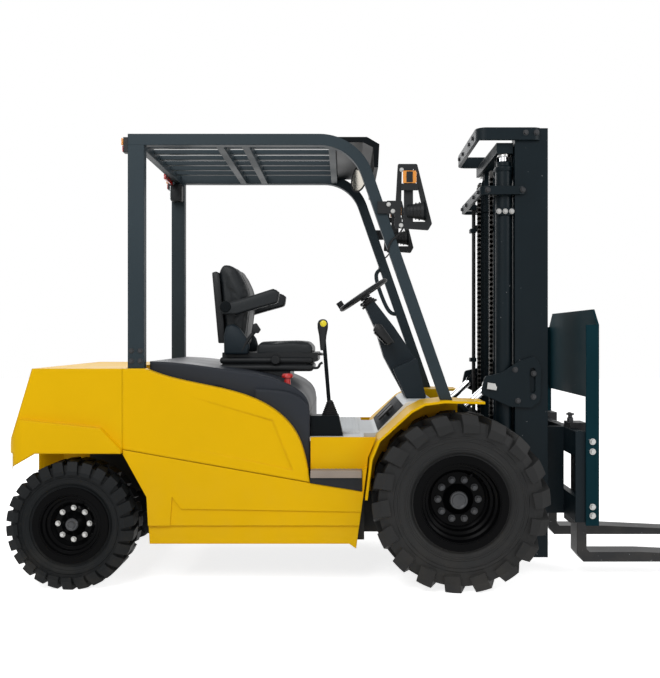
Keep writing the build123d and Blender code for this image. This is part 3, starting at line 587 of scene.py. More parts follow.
def chips_group() -> NodeTree:
    """Small worn spots where the paint is rubbed thin.

    Returns:
        The group's tree.
    """
    nodes, given, out = new_group("worn_spots", [("Vector", VECTOR), ("Amount", FLOAT)], [("Mask", FLOAT)])
    spots = nodes.noise(given.outputs["Vector"], 55.0, 6.0)
    fields = nodes.ramp(nodes.noise(given.outputs["Vector"], 4.0, 2.0), 0.4, 0.7, 0.0, 1.0)
    level = nodes.math("SUBTRACT", 0.74, nodes.math("MULTIPLY", given.outputs["Amount"], 0.16))
    worn = nodes.math("MULTIPLY", nodes.math("GREATER_THAN", spots, level), fields)
    nodes.feed(out.inputs["Mask"], worn)
    return nodes.tree


@dataclass
class Shop:
    """Shared node groups, built once."""

    grain: NodeTree = field(default_factory=grain_group)
    dust: NodeTree = field(default_factory=dust_group)
    chips: NodeTree = field(default_factory=chips_group)


SHOP = Shop()


@dataclass(frozen=True)
class Finish:
    """Procedural finish: colour, gloss, grain, dust and worn spots."""

    name: str
    color: Point
    roughness: float = 0.4
    metallic: float = 0.0
    coat: float = 0.0
    grain_scale: float = 300.0
    grain_depth: float = 0.0001
    tone: float = 0.12
    dust: float = 0.0
    dust_reach: float = 0.9
    chips: float = 0.0
    chip_color: Point = (0.35, 0.35, 0.36)
    rings: tuple[float, ...] = ()
    ring_centre: Flat = (0.0, 0.0)
    ring_depth: float = 0.003
    specular: float = 0.5
    edge: float = 0.0

    def ring_height(self, nodes: Tree, split: Node) -> Optional[Socket]:
        """Sum the round ribs about a wheel's centre.

        Args:
            nodes: The material's tree.
            split: Node with the object's X, Y and Z.

        Returns:
            Height in metres, or None without ribs.
        """
        if not self.rings:
            return None
        dx = nodes.math("SUBTRACT", split.outputs["X"], self.ring_centre[0])
        dz = nodes.math("SUBTRACT", split.outputs["Z"], self.ring_centre[1])
        radius = nodes.math("SQRT", nodes.math("ADD", nodes.math("MULTIPLY", dx, dx),
                                               nodes.math("MULTIPLY", dz, dz)))
        total = None
        for ring in self.rings:
            away = nodes.math("ABSOLUTE", nodes.math("SUBTRACT", radius, ring))
            rib = nodes.ramp(away, 0.002, 0.006, self.ring_depth, 0.0)
            total = rib if total is None else nodes.math("ADD", total, rib)
        return total

    def material(self) -> bpy.types.Material:
        """Build the finish as a node material.

        Returns:
            The material, built once per name.
        """
        label = f"{self.name}_finish"
        known = bpy.data.materials.get(label)
        if known:
            return known
        made = bpy.data.materials.new(label)
        made.use_nodes = True
        made.diffuse_color = (*self.color, 1.0)
        nodes = Tree(made.node_tree)
        shader = made.node_tree.nodes["Principled BSDF"]
        place = nodes.node("ShaderNodeTexCoord").outputs["Object"]
        split = nodes.node("ShaderNodeSeparateXYZ")
        nodes.feed(split.inputs[0], place)
        grain = nodes.group(SHOP.grain, Vector=place, Scale=self.grain_scale)
        dark = tuple(c * (1.0 - self.tone) for c in self.color)
        color = nodes.mix(grain.outputs["Tone"], (*dark, 1.0), (*self.color, 1.0))
        rough = nodes.ramp(grain.outputs["Tone"], 0.0, 1.0, self.roughness * 0.88,
                           min(1.0, self.roughness * 1.12))
        if self.chips:
            worn = nodes.group(SHOP.chips, Vector=place, Amount=self.chips).outputs["Mask"]
            color = nodes.mix(worn, color, (*self.chip_color, 1.0))
        if self.dust:
            film = nodes.group(SHOP.dust, Vector=place, Color=color, Dust=DUST_TINT, Amount=self.dust,
                               Reach=self.dust_reach)
            color = film.outputs["Color"]
            rough = nodes.math("ADD", rough, nodes.math("MULTIPLY", film.outputs["Mask"], 0.4))
        height = nodes.math("MULTIPLY", grain.outputs["Height"], self.grain_depth)
        ribs = self.ring_height(nodes, split)
        if ribs is not None:
            height = nodes.math("ADD", height, ribs)
        bump = nodes.node("ShaderNodeBump")
        bump.inputs["Distance"].default_value = 1.0
        if self.edge:
            rounding = nodes.node("ShaderNodeBevel", samples=6)
            rounding.inputs["Radius"].default_value = self.edge
            nodes.feed(bump.inputs["Normal"], rounding.outputs[0])
        nodes.feed(bump.inputs["Height"], height)
        nodes.feed(shader.inputs["Base Color"], color)
        nodes.feed(shader.inputs["Roughness"], rough)
        nodes.feed(shader.inputs["Normal"], bump.outputs[0])
        shader.inputs["Metallic"].default_value = self.metallic
        shader.inputs["Specular IOR Level"].default_value = self.specular
        shader.inputs["Coat Weight"].default_value = self.coat
        shader.inputs["Coat Roughness"].default_value = 0.12
        return made


def dress(obj: Object, finish: Finish) -> Object:
    """Give an object one finish all over.

    Args:
        obj: The object to dress.
        finish: Its finish.

    Returns:
        The same object.
    """
    if obj.material_slots:
        for slot in obj.material_slots:
            slot.link = "DATA"
            slot.material = finish.material()
    else:
        obj.data.materials.append(finish.material())
    return obj


def fit(obj: Object, body: Body, finish: Finish) -> Object:
    """Dress a new piece and let it ride on a body.

    Args:
        obj: The piece.
        body: The body it moves with.
        finish: Its finish.

    Returns:
        The same piece.
    """
    dress(obj, finish)
    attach(obj, body.value)
    log.info("%s: %d faces on %s", obj.name, len(obj.data.polygons), body.value)
    return obj


def trim(obj: Object, finish: Finish, body: Body = Body.CHASSIS) -> Object:
    """Dress a piece and let it ride on a body, the chassis unless another is given.

    Args:
        obj: The piece.
        finish: Its finish.
        body: The body it moves with.

    Returns:
        The same piece.
    """
    return fit(obj, body, finish)


def fit_pair(right: Object, body: Body, finish: Finish) -> None:
    """Fit a right-hand piece and its mirror image.

    Args:
        right: The right-hand piece, whose name ends in right.
        body: The body both move with.
        finish: Their finish.
    """
    left = mirrored(right.name.replace("right", "left"), right)
    for obj in (right, left):
        fit(obj, body, finish)


# Hubs and finishes of the truck

FRONT_HUB = (0.2295, 0.525, 0.43)
REAR_HUB = (-1.6705, 0.512, 0.3125)
DUST_TINT = (0.33, 0.29, 0.23, 1.0)
YELLOW = (0.84, 0.49, 0.0)
BODY_PAINT = Finish("body_paint", YELLOW, 0.36, grain_scale=420, grain_depth=0.00006, tone=0.04,
                    specular=0.1, edge=0.006)
PANEL_PAINT = replace(BODY_PAINT, name="panel_paint", edge=0.014)
SKIRT_PAINT = replace(BODY_PAINT, name="skirt_paint", roughness=0.38, tone=0.05, dust=0.03)
WEIGHT_PAINT = replace(BODY_PAINT, name="weight_paint", roughness=0.40, grain_scale=260, grain_depth=0.0001,
                       tone=0.05, edge=0.014)
COVER_PAINT = Finish("cover_paint", (0.020, 0.024, 0.032), 0.48, grain_scale=420, grain_depth=0.0001,
                     tone=0.12, dust=0.02, specular=0.2, edge=0.02)
GUARD_PAINT = Finish("guard_paint", (0.030, 0.044, 0.053), 0.44, grain_scale=500, tone=0.15,
                     specular=0.12, edge=0.006)
FRAME_PAINT = Finish("frame_paint", (0.010, 0.011, 0.012), 0.55, tone=0.2, dust=0.10, chips=0.1,
                     specular=0.2, edge=0.004)
MAST_PAINT = Finish("mast_paint", (0.006, 0.012, 0.016), 0.42, tone=0.2, chips=0.02,
                    specular=0.12, edge=0.005)
BACKREST_PAINT = Finish("backrest_paint", (0.006, 0.030, 0.040), 0.50, tone=0.15, chips=0.03,
                        specular=0.02, edge=0.004)
FORK_STEEL = Finish("fork_steel", (0.010, 0.011, 0.013), 0.42, tone=0.25, dust=0.06, chips=0.3,
                    specular=0.3, edge=0.005)
CAST_IRON = Finish("cast_iron", (0.012, 0.013, 0.014), 0.55, grain_scale=180, grain_depth=0.0004, tone=0.25,
                   dust=0.12, specular=0.2, edge=0.005)
CHAIN_STEEL = Finish("chain_steel", (0.16, 0.155, 0.15), 0.38, metallic=0.9, tone=0.4)
CHROME = Finish("chrome", (0.72, 0.73, 0.75), 0.10, metallic=1.0, grain_scale=900, grain_depth=0.00001,
                tone=0.05)
ZINC = Finish("zinc", (0.50, 0.50, 0.49), 0.34, metallic=1.0, tone=0.2, dust=0.08)
BLACK_ZINC = Finish("black_zinc", (0.05, 0.052, 0.056), 0.36, metallic=0.7, tone=0.2, dust=0.05)
RIM_PAINT = Finish("rim_paint", (0.002, 0.0021, 0.0024), 0.26, grain_scale=500, tone=0.1,
                   specular=0.04, edge=0.003)
FRONT_RUBBER = Finish(
    "front_rubber", (0.012, 0.0125, 0.013), 0.62, grain_scale=240, grain_depth=0.0004, tone=0.25, dust=0.05,
    dust_reach=0.5, rings=(0.262, 0.272, 0.305, 0.322), ring_centre=(FRONT_HUB[0], FRONT_HUB[2]),
    specular=0.25, edge=0.006)
REAR_RUBBER = Finish(
    "rear_rubber", (0.007, 0.0085, 0.0098), 0.62, grain_scale=240, grain_depth=0.0004, tone=0.25, dust=0.05,
    dust_reach=0.4, rings=(0.205, 0.213, 0.232), ring_centre=(REAR_HUB[0], REAR_HUB[2]), specular=0.15,
    edge=0.004)
# Pale bluish white of the operator's floor board, toe board and ribbed mat is a painted reflection, not their
# own colour; the dust on it is real dust.
FLOOR_REFLECTION_PAINT = Finish("floor_painted_reflection", (0.72, 0.75, 0.77), 0.5, grain_scale=160, grain_depth=0.0004, tone=0.15,
                     dust=0.05)
STEP_PAINT = Finish("step_paint", (0.020, 0.023, 0.027), 0.8, grain_scale=420, grain_depth=0.0012, tone=0.3,
                    dust=0.05, specular=0.2, edge=0.003)
TREAD_PLATE = Finish("tread_plate", (0.36, 0.30, 0.25), 0.7, grain_scale=520, grain_depth=0.0012, tone=0.3,
                     dust=0.1)
PLASTIC = Finish("dark_plastic", (0.008, 0.0095, 0.011), 0.46, grain_scale=650, grain_depth=0.0003,
                 tone=0.2, specular=0.25, edge=0.004)
GLOSS_PLASTIC = Finish("gloss_plastic", (0.004, 0.0058, 0.0072), 0.32, tone=0.1, specular=0.06, edge=0.004)
BATTERY_PAINT = Finish("battery_paint", (0.035, 0.037, 0.04), 0.55, tone=0.2, dust=0.15)
HOSE_RUBBER = Finish("hose_rubber", (0.007, 0.007, 0.008), 0.55, grain_scale=900, grain_depth=0.0003,
                     tone=0.2, dust=0.02, specular=0.25)
VINYL = Finish("seat_vinyl", (0.006, 0.0085, 0.0105), 0.48, grain_scale=330, grain_depth=0.0005, tone=0.2,
               specular=0.3)
PIPING = Finish("seat_piping", (0.008, 0.0085, 0.009), 0.4, grain_scale=700, grain_depth=0.0002, tone=0.1)
RED_PLASTIC = Finish("red_plastic", (0.55, 0.012, 0.010), 0.3, coat=0.3, tone=0.12)
AMBER_LENS = Finish("amber_lens", (0.85, 0.30, 0.01), 0.16, coat=0.6, grain_scale=160, grain_depth=0.0006,
                    tone=0.2)
RED_LENS = replace(AMBER_LENS, name="red_lens", color=(0.50, 0.012, 0.010))
CLEAR_LENS = Finish("clear_lens", (0.62, 0.65, 0.66), 0.12, metallic=0.6, coat=0.8, grain_scale=140,
                    grain_depth=0.0012, tone=0.3)
YELLOW_KNOB = Finish("yellow_knob", (0.80, 0.66, 0.01), 0.35, tone=0.05)
COLUMN_PLASTIC = Finish("column_plastic", (0.010, 0.017, 0.023), 0.46, grain_scale=650, grain_depth=0.0003,
                        tone=0.15, specular=0.18, edge=0.008)
MIRROR_GLASS = Finish("mirror_glass", (0.72, 0.68, 0.60), 0.06, metallic=1.0, tone=0.02)


@dataclass(frozen=True)
class NodeFinishes:
    """Which finish each kept CAD node shows."""

    by_finish: tuple[tuple[Finish, tuple[str, ...]], ...] = (
        (BODY_PAINT, ("front_fenders", "rear_beam")),
        (COVER_PAINT, ("hood", "leg_panel")),
        (PANEL_PAINT, ("side_panels",)),
        (SKIRT_PAINT, ("side_skirts",)),
        (WEIGHT_PAINT, ("counterweight",)),
        (GUARD_PAINT, ("guard_sides", "guard_posts", "guard_roof")),
        (FRAME_PAINT, ("frame",)),
        (MAST_PAINT, ("mast_outer_rails", "mast_outer_ties", "mast_inner_rails", "mast_inner_ties")),
        (MAST_PAINT, ("lift_barrels", "carriage", "tilt_barrel_right", "tilt_barrel_left")),
        (BACKREST_PAINT, ("load_backrest",)),
        (FORK_STEEL, ("forks",)),
        (CAST_IRON, ("drive_axle", "steer_axle", "knuckle_right", "knuckle_left")),
        (CHAIN_STEEL, ("chain_front", "chain_rear_outer", "chain_rear_inner")),
        (CHROME, ("lift_rods", "tilt_rod_right", "tilt_rod_left")),
        (RIM_PAINT, ("front_rim_right", "front_rim_left", "rear_rim_right", "rear_rim_left")),
        (FRONT_RUBBER, ("front_tyre_right", "front_tyre_left")),
        (REAR_RUBBER, ("rear_tyre_right", "rear_tyre_left")),
        # Floor board and toe board get the pale colour that is a painted reflection.
        (FLOOR_REFLECTION_PAINT, ("floor_board", "toe_board")),
        (STEP_PAINT, ("steps",)),
        (PLASTIC, ("headlamps", "tail_lamps", "steering_wheel", "armrests", "seat_base")),
        (COLUMN_PLASTIC, ("steering_column",)),
        (GLOSS_PLASTIC, ("guard_visor", "lever_console")),
        (BATTERY_PAINT, ("battery",)),
        (VINYL, ("seat_cushion", "seat_back")),
    )

    def dress(self) -> None:
        """Dress every CAD node."""
        for finish, names in self.by_finish:
            for name in names:
                dress(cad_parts[name], finish)


@dataclass
class Wheel:
    """Dressing of one wheel: dish, hub cap, bolts and valve."""

    name: str
    body: Body
    centre: Point
    side: int
    disc_y: float
    cap_y: float
    cap_r: float
    inner_r: float
    edge_y: float
    bolt_circle: float
    bolt_count: int
    bolt_r: float
    bolt_finish: Finish

    def out(self, depth: float) -> float:
        """Turn a depth into a distance along Y.

        Args:
            depth: Depth from the wheel's middle, outwards positive.

        Returns:
            The signed distance.
        """
        return self.side * depth

    def dish(self) -> None:
        """Stepped dish between the rim's lip and the disc."""
        edge, disc, r = self.edge_y, self.disc_y, self.inner_r
        run = edge - disc
        profile = [(edge - 0.002, r - 0.0005), (edge - 0.002, r - 0.006), (edge - 0.3 * run, r - 0.012),
                   (edge - 0.36 * run, r - 0.024), (edge - 0.6 * run, r - 0.029),
                   (edge - 0.66 * run, r - 0.043), (disc + 0.012, r - 0.048), (disc + 0.003, r - 0.060),
                   (disc + 0.0005, r - 0.062), (disc + 0.0005, r - 0.0005)]
        profile = [(self.out(a), b) for a, b in profile + profile[:1]]
        ring = turned(f"{self.name}_dish", profile, self.centre, Turn.Y, 72)
        fit(ring, self.body, RIM_PAINT)

    def hub_cap(self) -> None:
        """Pressed cap over the hub with a rolled edge."""
        y, r = self.cap_y, self.cap_r
        profile = [(y, r), (y + 0.005, r), (y + 0.009, r - 0.004), (y + 0.009, r - 0.011),
                   (y + 0.006, r - 0.015), (y + 0.007, r - 0.024), (y + 0.010, 0.012), (y + 0.011, 0.0),
                   (y, 0.0)]
        cap = turned(f"{self.name}_hub_cap", [(self.out(a), b) for a, b in profile], self.centre, Turn.Y, 40)
        fit(cap, self.body, BLACK_ZINC)

    def bolts(self) -> None:
        """Ring of wheel bolts on the disc."""
        spots = []
        x, y, z = self.centre
        for k in range(self.bolt_count):
            angle = 2 * math.pi * k / self.bolt_count
            spot = (x + self.bolt_circle * math.cos(angle), y + self.out(self.disc_y + 0.003),
                    z + self.bolt_circle * math.sin(angle))
            spots.append(aim((0, self.side, 0), spot))
        ring = copies(f"{self.name}_bolts", bolt(self.bolt_r, self.bolt_r * 1.1), spots)
        fit(ring, self.body, self.bolt_finish)

    def valve(self) -> None:
        """Valve stem through the dish."""
        x, y, z = self.centre
        r = self.inner_r - 0.066
        start = (x + 0.42 * r, y + self.out(self.disc_y), z + 0.9 * r)
        knee = (start[0], y + self.out(self.disc_y + 0.03), start[2])
        end = (start[0] + 0.006, y + self.out(self.disc_y + 0.055), start[2] + 0.012)
        fit(tube(f"{self.name}_valve", [start, knee, end], 0.0045), self.body, HOSE_RUBBER)

    def build(self) -> None:
        """Build and dress all pieces of the wheel."""
        self.dish()
        self.hub_cap()
        self.bolts()
        self.valve()


def all_wheels() -> list[Wheel]:
    """The dressing of all four wheels.

    Returns:
        One Wheel for each corner.
    """
    made = []
    for label, side in SIDES:
        x, y, z = FRONT_HUB
        made.append(Wheel(f"front_{label}", Body(f"front_wheel_{label}"), (x, side * y, z), side,
                          disc_y=0.005, cap_y=0.037, cap_r=0.0455, inner_r=0.195, edge_y=0.131,
                          bolt_circle=0.100, bolt_count=10, bolt_r=0.0135, bolt_finish=BLACK_ZINC))
        x, y, z = REAR_HUB
        made.append(Wheel(f"rear_{label}", Body(f"rear_wheel_{label}"), (x, side * y, z), side, disc_y=0.030,
                          cap_y=0.062, cap_r=0.0315, inner_r=0.153, edge_y=0.090, bolt_circle=0.078,
                          bolt_count=8, bolt_r=0.0105, bolt_finish=ZINC))
    return made


# Operator's place


@dataclass
class Seat:
    """Vinyl seat with padded cushions, armrests, suspension, belt buckle and levers."""

    voxel: float = 0.007
    pressure: float = 4.0
    swell: float = 0.012
    frames: int = 20
    stuffing: float = 0.7
    rounding: float = 0.012
    half: float = 0.222
    back_inset: float = 0.012
    welt_y: float = 0.125
    welt_foot: float = 1.20
    welt_step: float = 0.0375
    welt_points: int = 12
    welt_radius: float = 0.004
    cushion_line: tuple[Flat, ...] = ((-0.812, 1.138), (-0.505, 1.136), (-0.494, 1.155), (-0.496, 1.182),
                                      (-0.510, 1.196), (-0.600, 1.202), (-0.805, 1.196))
    back_line: tuple[Flat, ...] = ((-0.955, 1.165), (-0.888, 1.168), (-0.876, 1.260), (-0.862, 1.380),
                                   (-0.858, 1.455), (-0.871, 1.505), (-0.900, 1.562), (-0.922, 1.606),
                                   (-0.948, 1.624), (-0.982, 1.628), (-1.000, 1.605), (-1.000, 1.560),
                                   (-0.982, 1.380), (-0.965, 1.250))
    hip_line: tuple[Flat, ...] = ((-0.972, 1.140), (-0.846, 1.140), (-0.838, 1.185), (-0.850, 1.225),
                                  (-0.893, 1.286), (-0.930, 1.303), (-0.962, 1.290), (-0.974, 1.240))
    arm_line: tuple[Flat, ...] = ((-0.9925, 1.358), (-0.972, 1.352), (-0.905, 1.350), (-0.790, 1.384),
                                  (-0.684, 1.413), (-0.677, 1.462), (-0.690, 1.484), (-0.720, 1.484),
                                  (-0.860, 1.438), (-0.9925, 1.402))

    def padded(self, name: str, line: Sequence[Flat], half: float) -> Object:
        """Model one stuffed cushion and let it swell as cloth.

        Args:
            name: Plain name.
            line: Side outline, a little smaller than the cushion.
            half: Half width.

        Returns:
            The cushion.
        """
        pad = plate(name, line, -half, half, self.rounding)
        apply_modifier(pad, "REMESH", mode="VOXEL", voxel_size=self.voxel)
        self.inflate(pad)
        apply_modifier(pad, "SMOOTH", factor=0.5, iterations=4)
        apply_modifier(pad, "SUBSURF", levels=1, render_levels=1)
        return smooth(pad, 80)

    def inflate(self, pad: Object) -> None:
        """Run the cloth pressure and cap how far each point moves.

        Args:
            pad: The remeshed cushion.
        """
        before = [vertex.co.copy() for vertex in pad.data.vertices]
        take(pad)
        cloth = pad.modifiers.new("cloth", "CLOTH")
        cloth.settings.use_pressure = True
        cloth.settings.uniform_pressure_force = self.pressure
        cloth.settings.effector_weights.gravity = 0.0
        cloth.settings.quality = 4
        cloth.point_cache.frame_start, cloth.point_cache.frame_end = 1, self.frames
        for step in range(1, self.frames + 1):
            bpy.context.scene.frame_set(step)
        bpy.ops.object.modifier_apply(modifier=cloth.name)
        bpy.context.scene.frame_set(1)
        for vertex, old in zip(pad.data.vertices, before):
            move = vertex.co - old
            if move.length > self.swell:
                vertex.co = old + move * (self.swell / move.length)

    def cushions(self) -> None:
        """Seat cushion and backrest."""
        cushion = self.padded("seat_cushion_pad", self.cushion_line, self.half)
        fit(cushion, Body.HOOD, VINYL)
        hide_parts("seat_cushion")
        rest = self.padded("seat_back_pad", self.back_line, self.half - self.back_inset)
        fit(rest, Body.HOOD, VINYL)
        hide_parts("seat_back")
        self.piping(rest)

    def piping(self, rest: Object) -> None:
        """Welts between the backrest's middle panel and its bolsters.

        Args:
            rest: The finished backrest, which the welts lie on.
        """
        surface = BVHTree.FromPolygons([vertex.co for vertex in rest.data.vertices],
                                       [tuple(face.vertices) for face in rest.data.polygons])
        welts = []
        for y in (-self.welt_y, self.welt_y):
            starts = [Vector((-0.6, y, self.welt_foot + self.welt_step * k)) for k in range(self.welt_points)]
            hits = [surface.ray_cast(start, Vector((-1, 0, 0)))[0] for start in starts]
            line = [(hit.x - 0.001, y, hit.z) for hit in hits if hit is not None]
            welts.append(tube("welt", line, self.welt_radius))
        fit(joined("seat_back_piping", welts), Body.HOOD, PIPING)

    def armrests(self) -> None:
        """Padded armrests over the folding frames."""
        right = smooth(plate("armrest_pad_right", self.arm_line, -0.287, -0.222, 0.016), 60)
        fit_pair(right, Body.HOOD, VINYL)

    def shell(self) -> None:
        """Moulded shell behind the backrest and the hip covers."""
        line = [(-1.008, 1.200), (-0.968, 1.200), (-0.995, 1.480), (-1.002, 1.575), (-1.020, 1.585),
                (-1.042, 1.578)]
        trim(smooth(plate("seat_shell", line, -0.205, 0.205, 0.006)), PLASTIC, Body.HOOD)
        right = smooth(plate("hip_cover_right", self.hip_line, -0.246, -0.205, 0.012), 60)
        fit_pair(right, Body.HOOD, COLUMN_PLASTIC)

    def slabs(self) -> None:
        """Two rounded slabs of the seat's suspension."""
        levels = ((1.090, 1.126), (1.050, 1.087))
        made = [block("slab", (-0.998, -0.224, low), (-0.500, 0.224, high), 0.014) for low, high in levels]
        trim(smooth(joined("seat_suspension", made), 60), PLASTIC, Body.HOOD)

    def levers(self) -> None:
        """Slide bar, belt buckle, adjuster, weight knob and armrest pivots."""
        points = [(-0.53, -0.17, 1.146), (-0.455, -0.17, 1.138), (-0.448, 0.0, 1.136),
                  (-0.455, 0.17, 1.138), (-0.53, 0.17, 1.146)]
        fit(tube("seat_slide_bar", points, 0.006), Body.HOOD, BLACK_ZINC)
        points = [(-0.880, -0.236, 1.150), (-0.850, -0.240, 1.220), (-0.805, -0.240, 1.266)]
        stalk = tube("belt_stalk", points, 0.010)
        points = [(-0.826, 1.258), (-0.790, 1.252), (-0.776, 1.272), (-0.800, 1.308), (-0.818, 1.300)]
        buckle = plate("buckle", points, -0.254, -0.228, 0.005)
        trim(smooth(joined("belt_buckle", [stalk, buckle])), PLASTIC, Body.HOOD)
        points = [(-0.508, -0.205, 1.068), (-0.480, -0.205, 1.066), (-0.470, -0.205, 1.074),
                  (-0.464, -0.205, 1.092), (-0.450, -0.205, 1.096)]
        trim(tube("seat_adjuster", points, 0.007), PLASTIC, Body.HOOD)
        profile = [(0.0, 0.0), (0.0, 0.020), (-0.006, 0.026), (-0.022, 0.026), (-0.027, 0.022), (-0.027, 0.0)]
        trim(turned("seat_weight_knob", profile, (-0.70, -0.2105, 1.112), Turn.Y, 28), PLASTIC, Body.HOOD)
        for label, side in SIDES:
            profile = [(0.0, 0.0), (0.0, 0.026), (side * 0.004, 0.030), (side * 0.008, 0.027),
                       (side * 0.010, 0.0)]
            disc = turned(f"armrest_pivot_{label}", profile, (-0.958, side * 0.2835, 1.392), Turn.Y, 32)
            trim(disc, GLOSS_PLASTIC, Body.HOOD)

    def build(self) -> None:
        """Build and dress the whole seat."""
        self.cushions()
        self.armrests()
        self.shell()
        self.slabs()
        self.levers()


@dataclass
class Controls:
    """Pedals, direction lever, display, knobs, mats and step treads."""

    lever_top: Point = (-0.4435, -0.425, 1.290)
    lever_foot: Point = (-0.4065, -0.425, 0.838)
    stop_spot: Point = (-0.622, -0.44, 1.004)
    rib_pitch: float = 0.018
    rib_count: int = 12
    tread_x: Flat = (-0.4995, -0.2485)
    tread_top: float = 0.5785
    stud_pitch: Flat = (0.0205, 0.015)
    stud_columns: int = 12
    stud_rows: int = 4
    folds: int = 8

    def pedals(self) -> None:
        """Brake and drive pedals on the toe board."""
        pads = []
        for y, half in ((-0.235, 0.032), (-0.115, 0.042)):
            points = [(-0.148, 0.792), (-0.075, 0.866), (-0.083, 0.874), (-0.156, 0.800)]
            pad = plate("pedal", points, y - half, y + half, 0.003)
            arm = tube("pedal_arm", [(-0.112, y, 0.832), (-0.090, y, 0.812), (-0.072, y, 0.800)], 0.008)
            pads += [pad, arm]
        trim(smooth(joined("pedals", pads)), HOSE_RUBBER)

    def mat(self) -> None:
        """Ribbed floor mat and plain toe mat."""
        ribs = [block("mat", (-0.485, -0.36, 0.7362), (-0.255, 0.48, 0.741), 0.0015)]
        for k in range(self.rib_count):
            x = self.rib_pitch * k
            ribs.append(block("rib", (-0.478 + x, -0.352, 0.7405), (-0.470 + x, 0.472, 0.7438), 0.001))
        # The ribbed mat's pale bluish colour is a painted reflection.
        fit(joined("floor_mat", ribs), Body.CHASSIS, FLOOR_REFLECTION_PAINT)
        line = [(-0.1578, 0.7465), (-0.0274, 0.8776), (-0.0316, 0.8818), (-0.1620, 0.7507)]
        toe = plate("toe_mat", line, -0.335, 0.335, 0.0015)
        trim(smooth(toe), STEP_PAINT)

    def treads(self) -> None:
        """Studded tread plate on each step, folded down over the outer edge."""
        rear, front = self.tread_x
        along, across = self.stud_pitch
        sheet = block("sheet", (rear, -0.5795, 0.5751), (front, -0.5175, self.tread_top), 0.001)
        spots = []
        for k in range(self.stud_columns):
            for row in range(self.stud_rows):
                x = -0.488 + along * k + along / 2 * (row % 2)
                spots.append(Matrix.Translation((x, -0.571 + across * row, self.tread_top)))
        clear_selection()
        bpy.ops.mesh.primitive_cylinder_add(vertices=8, radius=0.0055, depth=0.003)
        studs = copies("studs", settle(bpy.context.object, "stud"), spots)
        lip = block("lip", (rear, -0.5845, 0.546), (front, -0.5805, self.tread_top), 0.001)
        bead = block("bead", (rear, -0.5870, 0.543), (front, -0.5805, 0.548), 0.0015)
        right = joined("step_tread_right", [sheet, lip, bead, studs])
        fit_pair(right, Body.CHASSIS, TREAD_PLATE)

    def column(self) -> None:
        """Direction lever, display and column boot."""
        points = [(-0.185, 0.070, 1.385), (-0.200, 0.120, 1.398), (-0.232, 0.185, 1.420)]
        stalk = tube("direction_stalk", points, 0.006)
        profile = [(0.0, 0.0), (0.0, 0.008), (0.012, 0.011), (0.034, 0.010), (0.040, 0.0)]
        grip = turned("direction_grip", profile, (-0.232, 0.180, 1.420), Turn.Y, 20)
        trim(joined("direction_lever", [stalk, grip]), GLOSS_PLASTIC)
        points = [(-0.178, 1.268), (-0.100, 1.188), (-0.068, 1.205), (-0.135, 1.300), (-0.165, 1.305)]
        case = plate("display_case", points, -0.215, -0.0715, 0.006)
        trim(smooth(case), PLASTIC)
        points = [(-0.172, 1.258), (-0.108, 1.192), (-0.111, 1.189), (-0.175, 1.255)]
        trim(plate("display_glass", points, -0.202, -0.085), GLOSS_PLASTIC)
        profile = [(0.0, 0.0), (0.0, 0.048), (0.010, 0.048), (0.014, 0.040), (0.022, 0.040), (0.026, 0.032),
                   (0.034, 0.032), (0.040, 0.020), (0.040, 0.0)]
        boot = turned("column_boot", profile, (0, 0, 0), Turn.Z, 32)
        boot.data.transform(aim((-0.559, 0, 0.829), (-0.190, 0.0, 1.4118)))
        trim(boot, HOSE_RUBBER)

    def knobs(self) -> None:
        """Lever knob, lever bellows and the emergency stop."""
        profile = [(-0.125, 0.0), (-0.125, 0.0115), (-0.110, 0.0135), (-0.050, 0.0190), (-0.012, 0.0265),
                   (0.012, 0.0270), (0.026, 0.0215), (0.033, 0.0110), (0.034, 0.0)]
        trim(turned("lever_grip", profile, self.lever_top, Turn.Z, 32), PLASTIC)
        profile = [(0.006, 0.0), (0.006, 0.0165), (-0.003, 0.0160), (-0.006, 0.0120), (-0.0065, 0.0)]
        trim(turned("lever_button", profile, (-0.4400, -0.4490, 1.3010), Turn.Y, 32), YELLOW_KNOB)
        ribs = []
        for k in range(self.folds):
            r = 0.044 - 0.0034 * k
            ribs += [(0.009 * k, r), (0.009 * k + 0.0045, r - 0.006)]
        boot = turned("lever_bellows", [(0.0, 0.0)] + ribs + [(0.074, 0.013), (0.074, 0.0)],
                      self.lever_foot, Turn.Z, 36)
        trim(boot, HOSE_RUBBER)
        profile = [(-0.012, 0.0), (-0.012, 0.017), (0.010, 0.016), (0.020, 0.015), (0.024, 0.027),
                   (0.034, 0.029), (0.043, 0.024), (0.046, 0.0)]
        trim(turned("stop_button", profile, self.stop_spot, Turn.Z, 32), RED_PLASTIC, Body.HOOD)

    def build(self) -> None:
        """Build and dress all the controls."""
        self.pedals()
        self.mat()
        self.treads()
        self.column()
        self.knobs()


# Guard, mast and carriage


